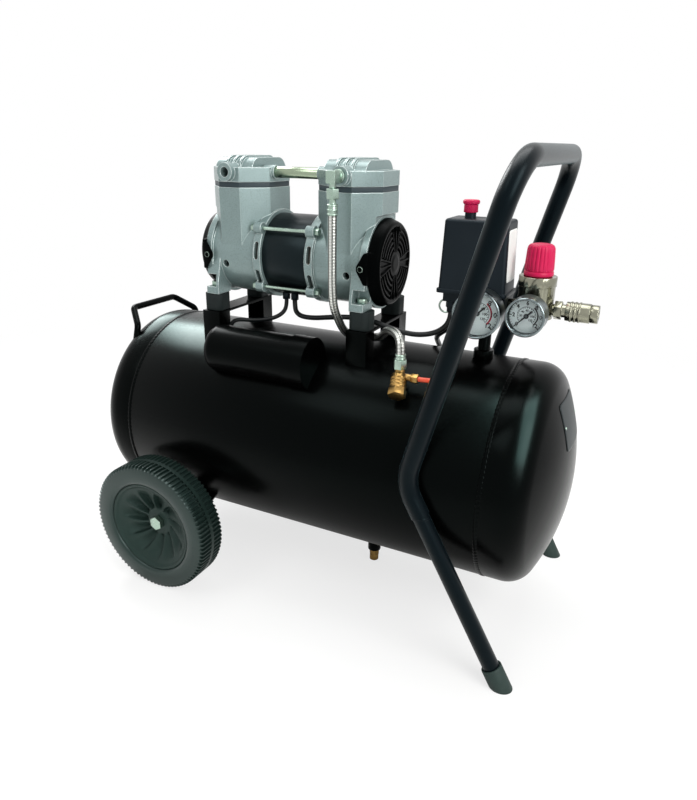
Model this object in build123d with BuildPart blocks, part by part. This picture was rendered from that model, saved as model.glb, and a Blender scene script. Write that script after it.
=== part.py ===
import os
from math import cos, pi, radians, sin, sqrt, tan

from build123d import *

os.makedirs("parts", exist_ok=True)

# Portable oil-free air compressor, millimetres, +Z up, standing on z = 0.
# +X points at the handle end, -Y is the side that carries the gauges.

# Tank
tank_r = 150.0
tank_z = 222.0
tank_wall = 3.0
seam_left = -275.3
seam_right = 267.3
head_skirt = 24.0
crown_r = 300.0
knuckle_r = 36.0

# Handle frame, also the front legs
frame_y = 163.0
frame_tube = 24.0
leg_tube = 21.4
frame_bore = 18.8
frame_foot = (321.7, 0.0)
frame_bend = (180.0, 253.3)
frame_top = (281.0, 625.0)
foot_gap = 12.0

# Wheels
wheel_x = -202.3
wheel_r = 100.0
wheel_in = 158.4
wheel_out = 208.4
tyre_bore = 70.0
axle_r = 6.0

# Pump and motor, symmetric about pump_x
pump_x = -52.0
motor_z = 484.0
head_pitch = 85.0
block_x = 94.0
block_y = 112.0
block_chamfer = 30.0
block_top = 576.0
plate_top = 583.0
head_top = 602.0
rib_top = 617.0
stator_half = 35.0
stator_r = 57.0
barrel_r = 58.0
case_end = 126.0
shaft_r = 7.5
foot_x = 118.0
foot_y = 52.0
post_y = 57.0
strap_top = 403.0
mount_top = 428.0
rod_y_pos = 50.0
rod_z_pos = 40.0
port_z = 596.0
intake_x = -138.0
outlet_x = 37.0

# Hose from the outlet elbow to the check valve
hose_y = -82.0
hose_d = 11.0
valve_x = 142.0
valve_y = -99.0
valve_top = 364.0
socket_rise = 9.0
socket_r = 10.0

# Capacitor hood
hood_y = -92.0
hood_z = 357.0
hood_r = 34.0
hood_x0 = -150.0
hood_x1 = 14.0
hood_port_x = -24.0

# Pressure switch, gauges, regulator and coupler
pipe_x = 220.0
base_bottom = 428.0
cover_bottom = 458.0
cover_top = 549.5
knob_x = 188.0
tank_gauge_r = 30.0
outlet_gauge_r = 23.5
gauge_front = -56.0
tank_gauge = (220.0, 441.0)
outlet_gauge = (279.0, 445.0)
reg_x = 279.0
reg_r = 22.0
line_z = 446.0
tip_x = 355.0
gland_x = 176.0
gland_y = 15.0
gland_bottom = 432.0

# Drain and cables
drain_x = 72.0
lead_d = 7.0
cap_lead_d = 6.0
mains_d = 7.5
tube_d = 6.0
coil_x = 20.0
coil_y = 140.0
coil_r = 52.0
coil_step = 4.2
coil_layer = 8.1
coil_z = 3.8

tank_axis = Axis((0, 0, tank_z), (1, 0, 0))
tank_plane = Plane((0, 0, tank_z), x_dir=(1, 0, 0), z_dir=(0, -1, 0))
sides = (-1, 1)


def finish(piece, name):
    piece.part.label = name
    export_step(piece.part, f"parts/{name}.step")


def rod_x(x0, x1, y, z, r, mode=Mode.ADD):
    with Locations(((x0 + x1) / 2, y, z)):
        Cylinder(r, abs(x1 - x0), rotation=(0, 90, 0), mode=mode)


def rod_y(y0, y1, x, z, r, mode=Mode.ADD):
    with Locations((x, (y0 + y1) / 2, z)):
        Cylinder(r, abs(y1 - y0), rotation=(90, 0, 0), mode=mode)


def rod_z(z0, z1, x, y, r, mode=Mode.ADD):
    with Locations((x, y, (z0 + z1) / 2)):
        Cylinder(r, abs(z1 - z0), mode=mode)


def block(x0, x1, y0, y1, z0, z1, mode=Mode.ADD):
    with Locations(((x0 + x1) / 2, (y0 + y1) / 2, (z0 + z1) / 2)):
        Box(abs(x1 - x0), abs(y1 - y0), abs(z1 - z0), mode=mode)


def hex_prism(centre, direction, across_flats, length):
    with BuildPart() as prism:
        with BuildSketch(Plane(centre, z_dir=direction)):
            RegularPolygon(across_flats / 2, 6, major_radius=False)
        extrude(amount=length)
    return prism.part


def tube_along(points, diameter, name):
    # Straight runs joined by arcs as large as the shorter run beside each corner allows.
    corners = [Vector(p) for p in points]
    radii = []
    for before, here, after in zip(corners, corners[1:], corners[2:]):
        turn = (here - before).get_angle(after - here)
        short = min((here - before).length, (after - here).length)
        radii.append(0.45 * short / tan(radians(turn) / 2))
    with BuildPart() as tube:
        with BuildLine():
            route = FilletPolyline(*points, radius=radii)
        with BuildSketch(Plane(route @ 0, z_dir=route % 0)):
            Circle(diameter / 2)
        sweep(path=route)
    ideal = pi * diameter**2 / 4 * route.length
    print(name, "length", round(route.length, 1), "volume ratio", round(tube.part.volume / ideal, 4))
    print(name, "radii", [round(r, 1) for r in radii])
    return tube


def head_corners(seam, side, inset):
    # Skirt end, knuckle-to-crown tangent point and pole of a dished head.
    centre_run = sqrt((crown_r - knuckle_r) ** 2 - (tank_r - knuckle_r) ** 2)
    lean = crown_r - knuckle_r
    skirt = seam + side * head_skirt
    touch_x = skirt + side * ((crown_r - inset) * centre_run / lean - centre_run)
    touch_r = (crown_r - inset) * (tank_r - knuckle_r) / lean
    pole = skirt + side * (crown_r - inset - centre_run)
    return skirt, (touch_x, touch_r), pole


def dished(seam, side, inset):
    skirt, touch, pole = head_corners(seam, side, inset)
    with BuildPart() as dish:
        with BuildSketch(tank_plane):
            with BuildLine():
                Line((seam, 0), (seam, tank_r - inset))
                Line((seam, tank_r - inset), (skirt, tank_r - inset))
                knuckle = TangentArc((skirt, tank_r - inset), touch, tangent=(side, 0))
                TangentArc(touch, (pole, 0), tangent=knuckle % 1)
                Line((pole, 0), (seam, 0))
            make_face()
        revolve(axis=tank_axis)
    return dish.part


with BuildPart() as tank_envelope:
    rod_x(seam_left, seam_right, 0, tank_z, tank_r)
    add(dished(seam_left, -1, 0))
    add(dished(seam_right, 1, 0))

# Tank shell and heads
with BuildPart() as tank_shell:
    rod_x(seam_left, seam_right, 0, tank_z, tank_r)
    chamfer(tank_shell.edges().filter_by(GeomType.CIRCLE), 1.2)
    rod_x(seam_left, seam_right, 0, tank_z, tank_r - tank_wall, Mode.SUBTRACT)
finish(tank_shell, "tank_shell")

with BuildPart() as tank_heads:
    for seam, side in ((seam_left, -1), (seam_right, 1)):
        add(dished(seam, side, 0))
        add(dished(seam, side, tank_wall), mode=Mode.SUBTRACT)
finish(tank_heads, "tank_heads")

# Handle frame: a bent upper tube, with a thinner leg pushed into each end
leg_run = Vector(frame_bend[0] - frame_foot[0], 0, frame_bend[1] - frame_foot[1]).normalized()
post_run = Vector(frame_top[0] - frame_bend[0], 0, frame_top[1] - frame_bend[1]).normalized()


def leg_plane(side, along):
    foot = Vector(frame_foot[0], side * frame_y, frame_foot[1])
    return Plane(foot + leg_run * along, x_dir=(0, 1, 0), z_dir=leg_run)


def frame_point(spot, side):
    return Vector(spot[0], side * frame_y, spot[1])


def tube_sweep(points, radii, r):
    with BuildPart() as swept:
        with BuildLine() as route:
            FilletPolyline(*points, radius=radii)
        with BuildSketch(Plane(route.line @ 0, z_dir=route.line % 0)):
            Circle(r)
        sweep(path=route.line)
    return swept.part


def frame_envelope():
    knees = [frame_point(frame_bend, side) for side in sides]
    tops = [frame_point(frame_top, side) for side in sides]
    with BuildPart() as envelope:
        for side, knee in zip(sides, knees):
            add(tube_sweep((leg_plane(side, foot_gap).origin, knee, knee + post_run * 60), 60, leg_tube / 2))
        add(tube_sweep((knees[0] + post_run * 30, *tops, knees[1] + post_run * 30), 50, frame_tube / 2))
    return envelope.part


frame_solid = frame_envelope()

with BuildPart() as handle_frame:
    add(frame_solid)
    bore_points = (
        leg_plane(-1, foot_gap).origin,
        frame_point(frame_bend, -1),
        frame_point(frame_top, -1),
        frame_point(frame_top, 1),
        frame_point(frame_bend, 1),
        leg_plane(1, foot_gap).origin,
    )
    add(tube_sweep(bore_points, (60, 50, 50, 60), frame_bore / 2), mode=Mode.SUBTRACT)
finish(handle_frame, "handle_frame")

with BuildPart() as foot_caps:
    for side in sides:
        with BuildSketch(leg_plane(side, -20)):
            Circle(13.3)
        extrude(amount=50)
        with BuildSketch(leg_plane(side, foot_gap)):
            Circle(leg_tube / 2)
        extrude(amount=60, mode=Mode.SUBTRACT)
    split(bisect_by=Plane.XY, keep=Keep.TOP)
finish(foot_caps, "foot_caps")

# Check valve's barrel and the socket under it, square to the tank
valve_run = Vector(0.2, -0.72, -0.66).normalized()
valve_head = Vector(valve_x, valve_y - 0.5, valve_top)
valve_middle = valve_head + valve_run * 10
socket_foot = Vector(valve_middle.X, 0, tank_z)
socket_run = (valve_middle - socket_foot).normalized()

# Welded sockets, the riser pipe to the switch and the saddles of the handle frame
with BuildPart() as tank_fittings:
    rod_z(tank_z, 384, pipe_x, 0, 13)
    with BuildSketch(Plane(socket_foot, z_dir=socket_run)):
        Circle(socket_r)
    extrude(amount=tank_r + socket_rise)
    rod_z(30, tank_z, drain_x, 0, 10)
    for side in sides:
        saddle_x = frame_bend[0]
        block(saddle_x - 9, saddle_x + 13, side * 120, side * (frame_y - 4), 238, 268)
    add(tank_envelope.part, mode=Mode.SUBTRACT)
    add(frame_solid, mode=Mode.SUBTRACT)
    rod_z(384, base_bottom, pipe_x, 0, 8)
    rod_z(tank_z + tank_r, base_bottom, pipe_x, 0, 5, Mode.SUBTRACT)
    rod_z(30, 72, drain_x, 0, 4, Mode.SUBTRACT)
finish(tank_fittings, "tank_fittings")

# Carrying bail on the left head
with BuildPart() as rear_handle:
    with BuildLine() as bail:
        FilletPolyline(
            (-318, -78, 328),
            (-316, -70, 362),
            (-343, -48, 383),
            (-343, 48, 383),
            (-316, 70, 362),
            (-318, 78, 328),
            radius=11,
        )
    with BuildSketch(Plane(bail.line @ 0, z_dir=bail.line % 0)):
        Circle(5)
    sweep(path=bail.line)
    add(tank_envelope.part, mode=Mode.SUBTRACT)
finish(rear_handle, "rear_handle")

# Wheel brackets and axle bolts
with BuildPart() as wheel_brackets:
    for side in sides:
        with BuildSketch(Plane.XZ.offset(-side * 116)):
            with BuildLine():
                Polyline((-290, 160), (-118, 160), (-178, 84), (-226, 84), close=True)
            make_face()
        extrude(amount=4, both=True)
        rod_y(side * 116, side * (wheel_in - 0.4), wheel_x, wheel_r, 15)
        rod_y(side * 100, side * 170, wheel_x, wheel_r, axle_r + 0.05, Mode.SUBTRACT)
    add(tank_envelope.part, mode=Mode.SUBTRACT)
finish(wheel_brackets, "wheel_brackets")

with BuildPart() as axle_bolts:
    for side in sides:
        rod_y(side * 98, side * 184.5, wheel_x, wheel_r, axle_r)
        add(hex_prism((wheel_x, side * 184.5, wheel_r), (0, side, 0), 19, 8))
for side in sides:
    with BuildPart() as axle_nut:
        add(hex_prism((wheel_x, side * 102, wheel_r), (0, side, 0), 19, 10))
        rod_y(side * 100, side * 114, wheel_x, wheel_r, axle_r + 0.05, Mode.SUBTRACT)
    axle_bolts.part = Part() + [axle_bolts.part, axle_nut.part]
finish(axle_bolts, "axle_bolts")


def wheel_hub(side):
    with BuildPart() as hub:
        rod_y(side * 162, side * 205, wheel_x, wheel_r, tyre_bore)
        rod_y(side * 184, side * 206, wheel_x, wheel_r, tyre_bore - 8, Mode.SUBTRACT)
        rod_y(side * 161, side * 177, wheel_x, wheel_r, tyre_bore - 8, Mode.SUBTRACT)
        rod_y(side * wheel_in, side * 184, wheel_x, wheel_r, 19)
        hub_plane = Plane((wheel_x, side * 184, wheel_r), x_dir=(1, 0, 0), z_dir=(0, side, 0))
        with BuildSketch(hub_plane):
            with PolarLocations(40, 11):
                Rectangle(44, 3.4, rotation=24)
        extrude(amount=14)
        rod_y(side * 150, side * 210, wheel_x, wheel_r, axle_r + 0.05, Mode.SUBTRACT)
    return hub


def wheel_tyre(side):
    with BuildPart() as tyre:
        rod_y(side * wheel_in, side * wheel_out, wheel_x, wheel_r, wheel_r)
        fillet(tyre.edges().filter_by(GeomType.CIRCLE), 7)
        rod_y(side * 150, side * 220, wheel_x, wheel_r, tyre_bore, Mode.SUBTRACT)
    return tyre


for side, place in ((-1, "front"), (1, "back")):
    finish(wheel_hub(side), f"wheel_hub_{place}")
    finish(wheel_tyre(side), f"wheel_tyre_{place}")

# Bridge brackets that carry the pump, and its rubber mounts
mount_spots = [(pump_x + i * foot_x, j * foot_y) for i in sides for j in sides]

with BuildPart() as motor_brackets:
    for side in sides:
        x = pump_x + side * foot_x
        for face in sides:
            block(x - 15, x + 15, face * (post_y - 13), face * (post_y + 13), tank_z + 100, strap_top - 4)
            block(x - 12, x + 12, face * (post_y - 14), face * (post_y + 10), tank_z, strap_top - 4, Mode.SUBTRACT)
        block(x - 15, x + 15, -post_y - 13, post_y + 13, strap_top - 4, strap_top)
    add(tank_envelope.part, mode=Mode.SUBTRACT)
finish(motor_brackets, "motor_brackets")

with BuildPart() as rubber_mounts:
    with BuildSketch(Plane.XY.offset(strap_top)):
        with Locations(*mount_spots):
            RectangleRounded(29, 29, 8)
            Circle(4.05, mode=Mode.SUBTRACT)
    extrude(amount=mount_top - strap_top)
finish(rubber_mounts, "rubber_mounts")


def octagon(width, depth, corner, x, z0, height):
    with BuildPart() as eight_sided:
        with BuildSketch(Plane.XY.offset(z0)) as outline:
            with Locations((x, 0)):
                Rectangle(width, depth)
            chamfer(outline.vertices(), corner)
        extrude(amount=height)
    return eight_sided.part


# Crankcases: octagonal cylinder block over a round barrel with two feet
head_x = pump_x + head_pitch
rod_spots = [(i * rod_y_pos, motor_z + j * rod_z_pos) for i in sides for j in sides]

with BuildPart() as crankcase_right:
    add(octagon(block_x, block_y, block_chamfer, head_x, motor_z, block_top - motor_z))
    with BuildSketch(Plane.XZ):
        with BuildLine():
            Polyline(
                (pump_x + 125.5, motor_z - 10),
                (pump_x + 140, motor_z - 10),
                (pump_x + 140, motor_z + 67),
                (pump_x + 125.5, motor_z + 62),
                close=True,
            )
        make_face()
    extrude(amount=80, both=True, mode=Mode.SUBTRACT)
    rod_x(pump_x + stator_half, pump_x + case_end, 0, motor_z, barrel_r)
    rod_x(pump_x + stator_half, pump_x + 47, 0, motor_z, barrel_r + 4)
    rod_x(pump_x + 117, pump_x + case_end, 0, motor_z, barrel_r + 4)
    for y, z in rod_spots:
        rod_x(pump_x + stator_half, pump_x + 47, y, z, 8)
    for side in sides:
        with BuildSketch(Plane.YZ.offset(pump_x + foot_x - 13)):
            with BuildLine():
                Polyline(
                    (side * 38, mount_top),
                    (side * 66, mount_top),
                    (side * 66, 442),
                    (side * 56, motor_z + 4),
                    (side * 40, motor_z),
                    (side * 30, 446),
                    close=True,
                )
            make_face()
        extrude(amount=case_end - foot_x + 12.5)
        block(pump_x + foot_x - 9, pump_x + foot_x + 9, side * 44, side * 80, 438, 456, Mode.SUBTRACT)
        rod_z(420, 440, pump_x + foot_x, side * foot_y, 4.25, Mode.SUBTRACT)
        rod_y(side * 45, side * 70, pump_x + 96, motor_z - 12, 5, Mode.SUBTRACT)
    rod_x(pump_x + stator_half, pump_x + 50, 0, motor_z, 50, Mode.SUBTRACT)
    rod_x(pump_x + 61, pump_x + case_end, 0, motor_z, 50, Mode.SUBTRACT)
    rod_x(pump_x + 40, pump_x + 70, 0, motor_z, 17.5, Mode.SUBTRACT)
    rod_z(520, block_top, head_x, 0, 33, Mode.SUBTRACT)
    for y, z in rod_spots:
        rod_x(pump_x + 30, pump_x + 50, y, z, 3, Mode.SUBTRACT)
    for angle in (10, -26, 170, 206):
        slot_y = 56 * cos(radians(angle))
        slot_z = motor_z + 56 * sin(radians(angle))
        outward = Vector(0, cos(radians(angle)), sin(radians(angle)))
        around = Vector(0, -sin(radians(angle)), cos(radians(angle)))
        with BuildSketch(Plane((pump_x + 41.5, slot_y, slot_z), x_dir=around, z_dir=outward)):
            SlotOverall(24, 6.5)
        extrude(amount=9, both=True, mode=Mode.SUBTRACT)
finish(crankcase_right, "crankcase_right")

pump_middle = Plane.YZ.offset(pump_x)

with BuildPart() as crankcase_left:
    mirror(crankcase_right.part, about=pump_middle)
finish(crankcase_left, "crankcase_left")

# Motor: stator, windings, rotor and shaft
with BuildPart() as stator_core:
    rod_x(pump_x - stator_half, pump_x + stator_half, 0, motor_z, stator_r)
    rod_x(pump_x - 60, pump_x + 60, 0, motor_z, 32.5, Mode.SUBTRACT)
finish(stator_core, "stator_core")

with BuildPart() as stator_windings:
    for side in sides:
        rod_x(pump_x + side * stator_half, pump_x + side * 47, 0, motor_z, 48)
        rod_x(pump_x + side * 30, pump_x + side * 50, 0, motor_z, 34, Mode.SUBTRACT)
finish(stator_windings, "stator_windings")

with BuildPart() as rotor_core:
    rod_x(pump_x - stator_half, pump_x + stator_half, 0, motor_z, 32)
    rod_x(pump_x - 60, pump_x + 60, 0, motor_z, shaft_r, Mode.SUBTRACT)
finish(rotor_core, "rotor_core")

with BuildPart() as motor_shaft:
    rod_x(pump_x - 137, pump_x + 137, 0, motor_z, shaft_r)
finish(motor_shaft, "motor_shaft")

with BuildPart() as shaft_bearings:
    for side in sides:
        near = pump_x + side * 50
        far = pump_x + side * 61
        rod_x(near, far, 0, motor_z, 17.5)
        rod_x(near, far, 0, motor_z, 14.5, Mode.SUBTRACT)
        rod_x(near, far, 0, motor_z, 10.5)
        rod_x(near, far, 0, motor_z, shaft_r + 0.05, Mode.SUBTRACT)
        with BuildSketch(Plane.YZ.offset((near + far) / 2)):
            with Locations((0, motor_z)):
                with PolarLocations(12.5, 8):
                    Circle(1.9)
        extrude(amount=1.9, both=True)
finish(shaft_bearings, "shaft_bearings")

# Fans on the shaft's ends, under their covers
with BuildPart() as cooling_fans:
    for side in sides:
        fan_face = pump_x + side * 127.5
        with BuildSketch(Plane((fan_face, 0, motor_z), x_dir=(0, 1, 0), z_dir=(side, 0, 0))):
            Circle(13)
            with PolarLocations(29, 9):
                Rectangle(38, 2.4, rotation=20)
            Circle(shaft_r, mode=Mode.SUBTRACT)
        extrude(amount=9.5)
finish(cooling_fans, "cooling_fans")

tab_tip = 114.0
tab_y = 62.3
tab_screw = 121.0

with BuildPart() as fan_covers:
    for side in sides:
        rim = pump_x + side * case_end
        cover_plane = Plane((rim, 0, motor_z), x_dir=(0, 1, 0), z_dir=(side, 0, 0))
        with BuildSketch(cover_plane):
            Circle(59)
        extrude(amount=3)
        with BuildSketch(cover_plane):
            Circle(56)
        extrude(amount=16)
        face_rim = fan_covers.edges().filter_by(GeomType.CIRCLE).sort_by(Axis.X)[-1 if side > 0 else 0]
        fillet(face_rim, 6)
        with BuildSketch(cover_plane):
            Circle(52)
        extrude(amount=13, mode=Mode.SUBTRACT)
        with BuildSketch(cover_plane.offset(10)):
            with PolarLocations(34, 18):
                SlotOverall(26, 5)
        extrude(amount=10, mode=Mode.SUBTRACT)
        for face in sides:
            block(rim, rim + side * 3, face * 53, face * (tab_y + 3), motor_z - 22, motor_z + 22)
            with BuildSketch(Plane((0, face * tab_y, 0), x_dir=(1, 0, 0), z_dir=(0, face, 0))):
                with BuildLine():
                    Polyline(
                        (rim + side * 3, -face * (motor_z - 22)),
                        (rim - side * 1.5, -face * (motor_z - 20)),
                        (pump_x + side * (tab_tip + 2), -face * (motor_z - 6)),
                        (pump_x + side * tab_tip, -face * motor_z),
                        (pump_x + side * (tab_tip + 2), -face * (motor_z + 6)),
                        (rim - side * 1.5, -face * (motor_z + 20)),
                        (rim + side * 3, -face * (motor_z + 22)),
                        close=True,
                    )
                make_face()
            extrude(amount=3)
finish(fan_covers, "fan_covers")

with BuildPart() as tie_rods:
    for y, z in rod_spots:
        rod_x(pump_x - 53, pump_x + 53, y, z, 2.5)
        for side in sides:
            add(hex_prism((pump_x + side * 47, y, z), (side, 0, 0), 9, 6))
finish(tie_rods, "tie_rods")

# Crank and piston of each cylinder
throw = 7.0

with BuildPart() as eccentrics:
    for side in sides:
        u = pump_x + side * head_pitch
        rod_x(u - 6, u + 6, 0, motor_z + throw, 18)
        rod_x(u - 8, u + 8, 0, motor_z, shaft_r + 0.05, Mode.SUBTRACT)
finish(eccentrics, "eccentrics")

with BuildPart() as connecting_rods:
    for side in sides:
        u = pump_x + side * head_pitch
        rod_x(u - 6, u + 6, 0, motor_z + throw, 25)
        block(u - 6, u + 6, -9, 9, motor_z + throw, 550)
        rod_x(u - 8, u + 8, 0, motor_z + throw, 18.05, Mode.SUBTRACT)
        rod_z(546, 554, u, 0, 28)
        rod_z(554.05, 557, u, 0, 29.7)
finish(connecting_rods, "connecting_rods")

with BuildPart() as cylinder_sleeves:
    for side in sides:
        u = pump_x + side * head_pitch
        rod_z(520, block_top, u, 0, 33)
        rod_z(510, block_top, u, 0, 30, Mode.SUBTRACT)
finish(cylinder_sleeves, "cylinder_sleeves")

with BuildPart() as valve_plates:
    for side in sides:
        u = pump_x + side * head_pitch
        add(octagon(block_x - 1, block_y - 1, block_chamfer, u, block_top, plate_top - block_top))
        for y in sides:
            rod_z(block_top, plate_top, u, y * 14, 5, Mode.SUBTRACT)
finish(valve_plates, "valve_plates")

transfer_y = -14.0
collar_out = 4.0


def head_arch(x, half, drop):
    # Flat-topped arch across the head, rounded down to its front and back edges.
    foot = 46 - drop
    shoulder = 28 - drop
    crest = rib_top - drop
    with BuildPart() as arch:
        with BuildSketch(Plane.YZ.offset(x)):
            with BuildLine():
                Line((-foot, head_top - 2), (foot, head_top - 2))
                ThreePointArc((foot, head_top - 2), (shoulder + 12, crest - 5), (shoulder, crest))
                Line((shoulder, crest), (-shoulder, crest))
                ThreePointArc((-shoulder, crest), (-shoulder - 12, crest - 5), (-foot, head_top - 2))
            make_face()
        extrude(amount=half, both=True)
    return arch.part


def cylinder_head(side, port_x):
    u = pump_x + side * head_pitch
    inner = u - side * block_x / 2
    with BuildPart() as head:
        add(octagon(block_x, block_y, block_chamfer, u, plate_top, head_top - plate_top))
        add(head_arch(u, 30, 2.5))
        for step in range(-1, 2):
            add(head_arch(u + step * 11, 1.6, 0))
        rod_y(-30, -64, port_x, port_z, 12)
        rod_x(inner + side * 14, inner - side * collar_out, transfer_y, port_z, 9.2)
        for y in sides:
            block(u - 24, u + 24, y * 4, y * 34, plate_top, head_top - 6, Mode.SUBTRACT)
        rod_y(-34, -64, port_x, port_z, 6.5, Mode.SUBTRACT)
        rod_x(inner + side * 30, inner - side * collar_out, transfer_y, port_z, 5.5, Mode.SUBTRACT)
    return head


finish(cylinder_head(-1, intake_x), "cylinder_head_left")
finish(cylinder_head(1, outlet_x), "cylinder_head_right")

with BuildPart() as transfer_tube:
    reach = head_pitch - block_x / 2 - collar_out
    rod_x(pump_x - reach, pump_x + reach, transfer_y, port_z, 7.5)
    rod_x(pump_x - reach, pump_x + reach, transfer_y, port_z, 5.5, Mode.SUBTRACT)
finish(transfer_tube, "transfer_tube")

# Screws of the mounts and the fan covers
with BuildPart() as pump_screws:
    for x, y in mount_spots:
        rod_z(406, 438, x, y, 4)
        rod_z(438, 444, x, y, 7)
    for side in sides:
        for face in sides:
            rod_y(face * (tab_y + 3), face * (tab_y + 5.5), pump_x + side * tab_screw, motor_z, 3.8)
finish(pump_screws, "pump_screws")

# Outlet elbow and the swivel nuts at both ends of the hose
nut_top = 582.0
hose_start = 550.0
hose_end = 392.0

with BuildPart() as hose_fittings:
    rod_y(-64, -69, outlet_x, port_z, 8.5)
    rod_y(-64, hose_y, outlet_x, port_z, 6)
    block(outlet_x - 6.5, outlet_x + 6.5, hose_y - 6.5, hose_y + 6.5, port_z - 8, port_z + 7)
    rod_z(nut_top, port_z, outlet_x, hose_y, 4.5)
    add(hex_prism((outlet_x, hose_y, nut_top - 0.05), (0, 0, -1), 15, 12))
    rod_z(hose_start + 14, nut_top - 12, outlet_x, hose_y, 4.5)
    rod_z(hose_start, hose_start + 14, outlet_x, hose_y, 6.4)
    add(hex_prism((valve_x, valve_y, 373.05), (0, 0, 1), 15, 12))
    rod_z(385, hose_end, valve_x, valve_y, 6.4)
finish(hose_fittings, "hose_fittings")

hose_points = (
    (outlet_x, hose_y, hose_start),
    (outlet_x, hose_y, 500),
    (outlet_x - 0.2, hose_y + 0.5, 455),
    (outlet_x, hose_y + 5, 432),
    (outlet_x + 1, hose_y + 16, 415),
    (outlet_x + 1.5, hose_y + 29, 398.5),
    (outlet_x + 7, hose_y + 41, 388),
    (outlet_x + 19, hose_y + 47, 385.5),
    (outlet_x + 35, hose_y + 47, 387.5),
    (outlet_x + 50, hose_y + 44.5, 391),
    (valve_x - 45, valve_y + 50, 399),
    (valve_x - 36, valve_y + 37, 407.5),
    (valve_x - 25, valve_y + 24, 413),
    (valve_x - 13, valve_y + 14, 413.5),
    (valve_x - 4, valve_y + 5, 409.5),
    (valve_x, valve_y, 401.5),
    (valve_x, valve_y, hose_end),
)
braided_hose = tube_along(hose_points, hose_d, "braided_hose")
finish(braided_hose, "braided_hose")

with BuildPart() as check_valve:
    rod_z(362, 373, valve_x, valve_y, 6.5)
    rod_x(valve_x, valve_x + 16, valve_y, 363, 4.5)
    with BuildSketch(Plane(valve_head, z_dir=valve_run)):
        Circle(9.6)
    extrude(amount=20)
    with BuildSketch(Plane(valve_middle, z_dir=-socket_run)):
        Circle(7.5)
    extrude(amount=(valve_middle - socket_foot).length - tank_r - socket_rise)
    for along in (5, 9.5, 14):
        with BuildSketch(Plane(valve_head + valve_run * along, z_dir=valve_run)):
            Circle(10.4)
        extrude(amount=2.2)
    add(hex_prism(valve_head + valve_run * 20, valve_run, 20.5, 10))
    add(hex_prism((valve_x + 16.05, valve_y, 363), (1, 0, 0), 11, 9))
finish(check_valve, "check_valve")

unload_x = 193.0
unload_y = -14.0
tube_points = (
    (valve_x + 25.05, valve_y, 363),
    (valve_x + 38, valve_y, 363),
    (valve_x + 52, valve_y + 8, 364),
    (valve_x + 59, valve_y + 25, 368),
    (valve_x + 59, valve_y + 46, 377),
    (valve_x + 56, valve_y + 66, 391),
    (unload_x + 1, unload_y - 5, 408),
    (unload_x, unload_y, 424),
    (unload_x, unload_y, 438),
)
unloader_tube = tube_along(tube_points, tube_d, "unloader_tube")
finish(unloader_tube, "unloader_tube")

# Capacitor under its hood on the tank
hood_port_run = Vector(0, 12, 5).normalized()

with BuildPart() as capacitor_cover:
    rod_x(hood_x0, hood_x1, hood_y, hood_z, hood_r)
    fillet(capacitor_cover.edges().filter_by(GeomType.CIRCLE).sort_by(Axis.X)[0], 14)
    rod_x(hood_x1 - 30, hood_x1, hood_y, hood_z, hood_r + 1.5)
    with BuildSketch(Plane((hood_port_x, hood_y, hood_z), z_dir=hood_port_run)):
        Circle(5)
    extrude(amount=hood_r + 5)
    rod_x(hood_x0 + 10, hood_x1 - 3, hood_y, hood_z, hood_r - 3, Mode.SUBTRACT)
    add(tank_envelope.part, mode=Mode.SUBTRACT)
finish(capacitor_cover, "capacitor_cover")

with BuildPart() as capacitor:
    rod_x(-130, -35, -97, 364, 20)
    for side in sides:
        block(-35, -26, -97 + side * 7 - 3, -97 + side * 7 + 3, 363.6, 364.4)
finish(capacitor, "capacitor")

# Pressure switch: manifold base, cover, pull knob and cable glands
with BuildPart() as switch_base:
    block(200, 246, -22, 22, base_bottom, cover_bottom)
    block(166, 246, -22, 22, 446, cover_bottom)
    rod_z(438, 446, unload_x, unload_y, 5)
    rod_z(base_bottom, 440, pipe_x, 0, 5, Mode.SUBTRACT)
finish(switch_base, "switch_base")

with BuildPart() as switch_cover:
    with BuildSketch(Plane.XY.offset(cover_bottom)):
        with Locations((203, -1)):
            RectangleRounded(86, 54, 5)
    with BuildSketch(Plane.XY.offset(cover_top)):
        with Locations((203, -1)):
            RectangleRounded(80, 50, 5)
    loft()
    fillet(switch_cover.faces().sort_by(Axis.Z)[-1].edges(), 4)
    with BuildSketch(Plane.XY.offset(cover_bottom)):
        with Locations((203, -1)):
            RectangleRounded(90, 58, 6)
    extrude(amount=5)
    with BuildSketch(Plane.XY.offset(cover_bottom)):
        with Locations((203, -1)):
            RectangleRounded(74, 44, 3)
    extrude(amount=cover_top - cover_bottom - 4, mode=Mode.SUBTRACT)
    rod_z(cover_top - 10, cover_top + 1, knob_x, 0, 7.3, Mode.SUBTRACT)
finish(switch_cover, "switch_cover")

with BuildPart() as switch_knob:
    rod_z(524, 556, knob_x, 0, 7)
    rod_z(556, 571, knob_x, 0, 10.5)
    fillet(switch_knob.edges().filter_by(GeomType.CIRCLE).sort_by(Axis.Z)[-1], 4)
finish(switch_knob, "switch_knob")

lead_exit = (-58.0, -18.0)
cap_exit = (-72.0, -18.0)
grommet_bottom = 422.0

with BuildPart() as cable_glands:
    for side in sides:
        add(hex_prism((gland_x, side * gland_y, 446), (0, 0, -1), 13, 8))
        rod_z(gland_bottom, 438, gland_x, side * gland_y, 5.5)
    for x, y in (lead_exit, cap_exit):
        rod_z(grommet_bottom, 450, x, y, 5.5)
    rod_x(pump_x - stator_half, pump_x + stator_half, 0, motor_z, stator_r, Mode.SUBTRACT)
finish(cable_glands, "cable_glands")

# Gauges: case, printed face with its pin, needle and lens
gauges = {"tank": (*tank_gauge, tank_gauge_r), "outlet": (*outlet_gauge, outlet_gauge_r)}

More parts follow.
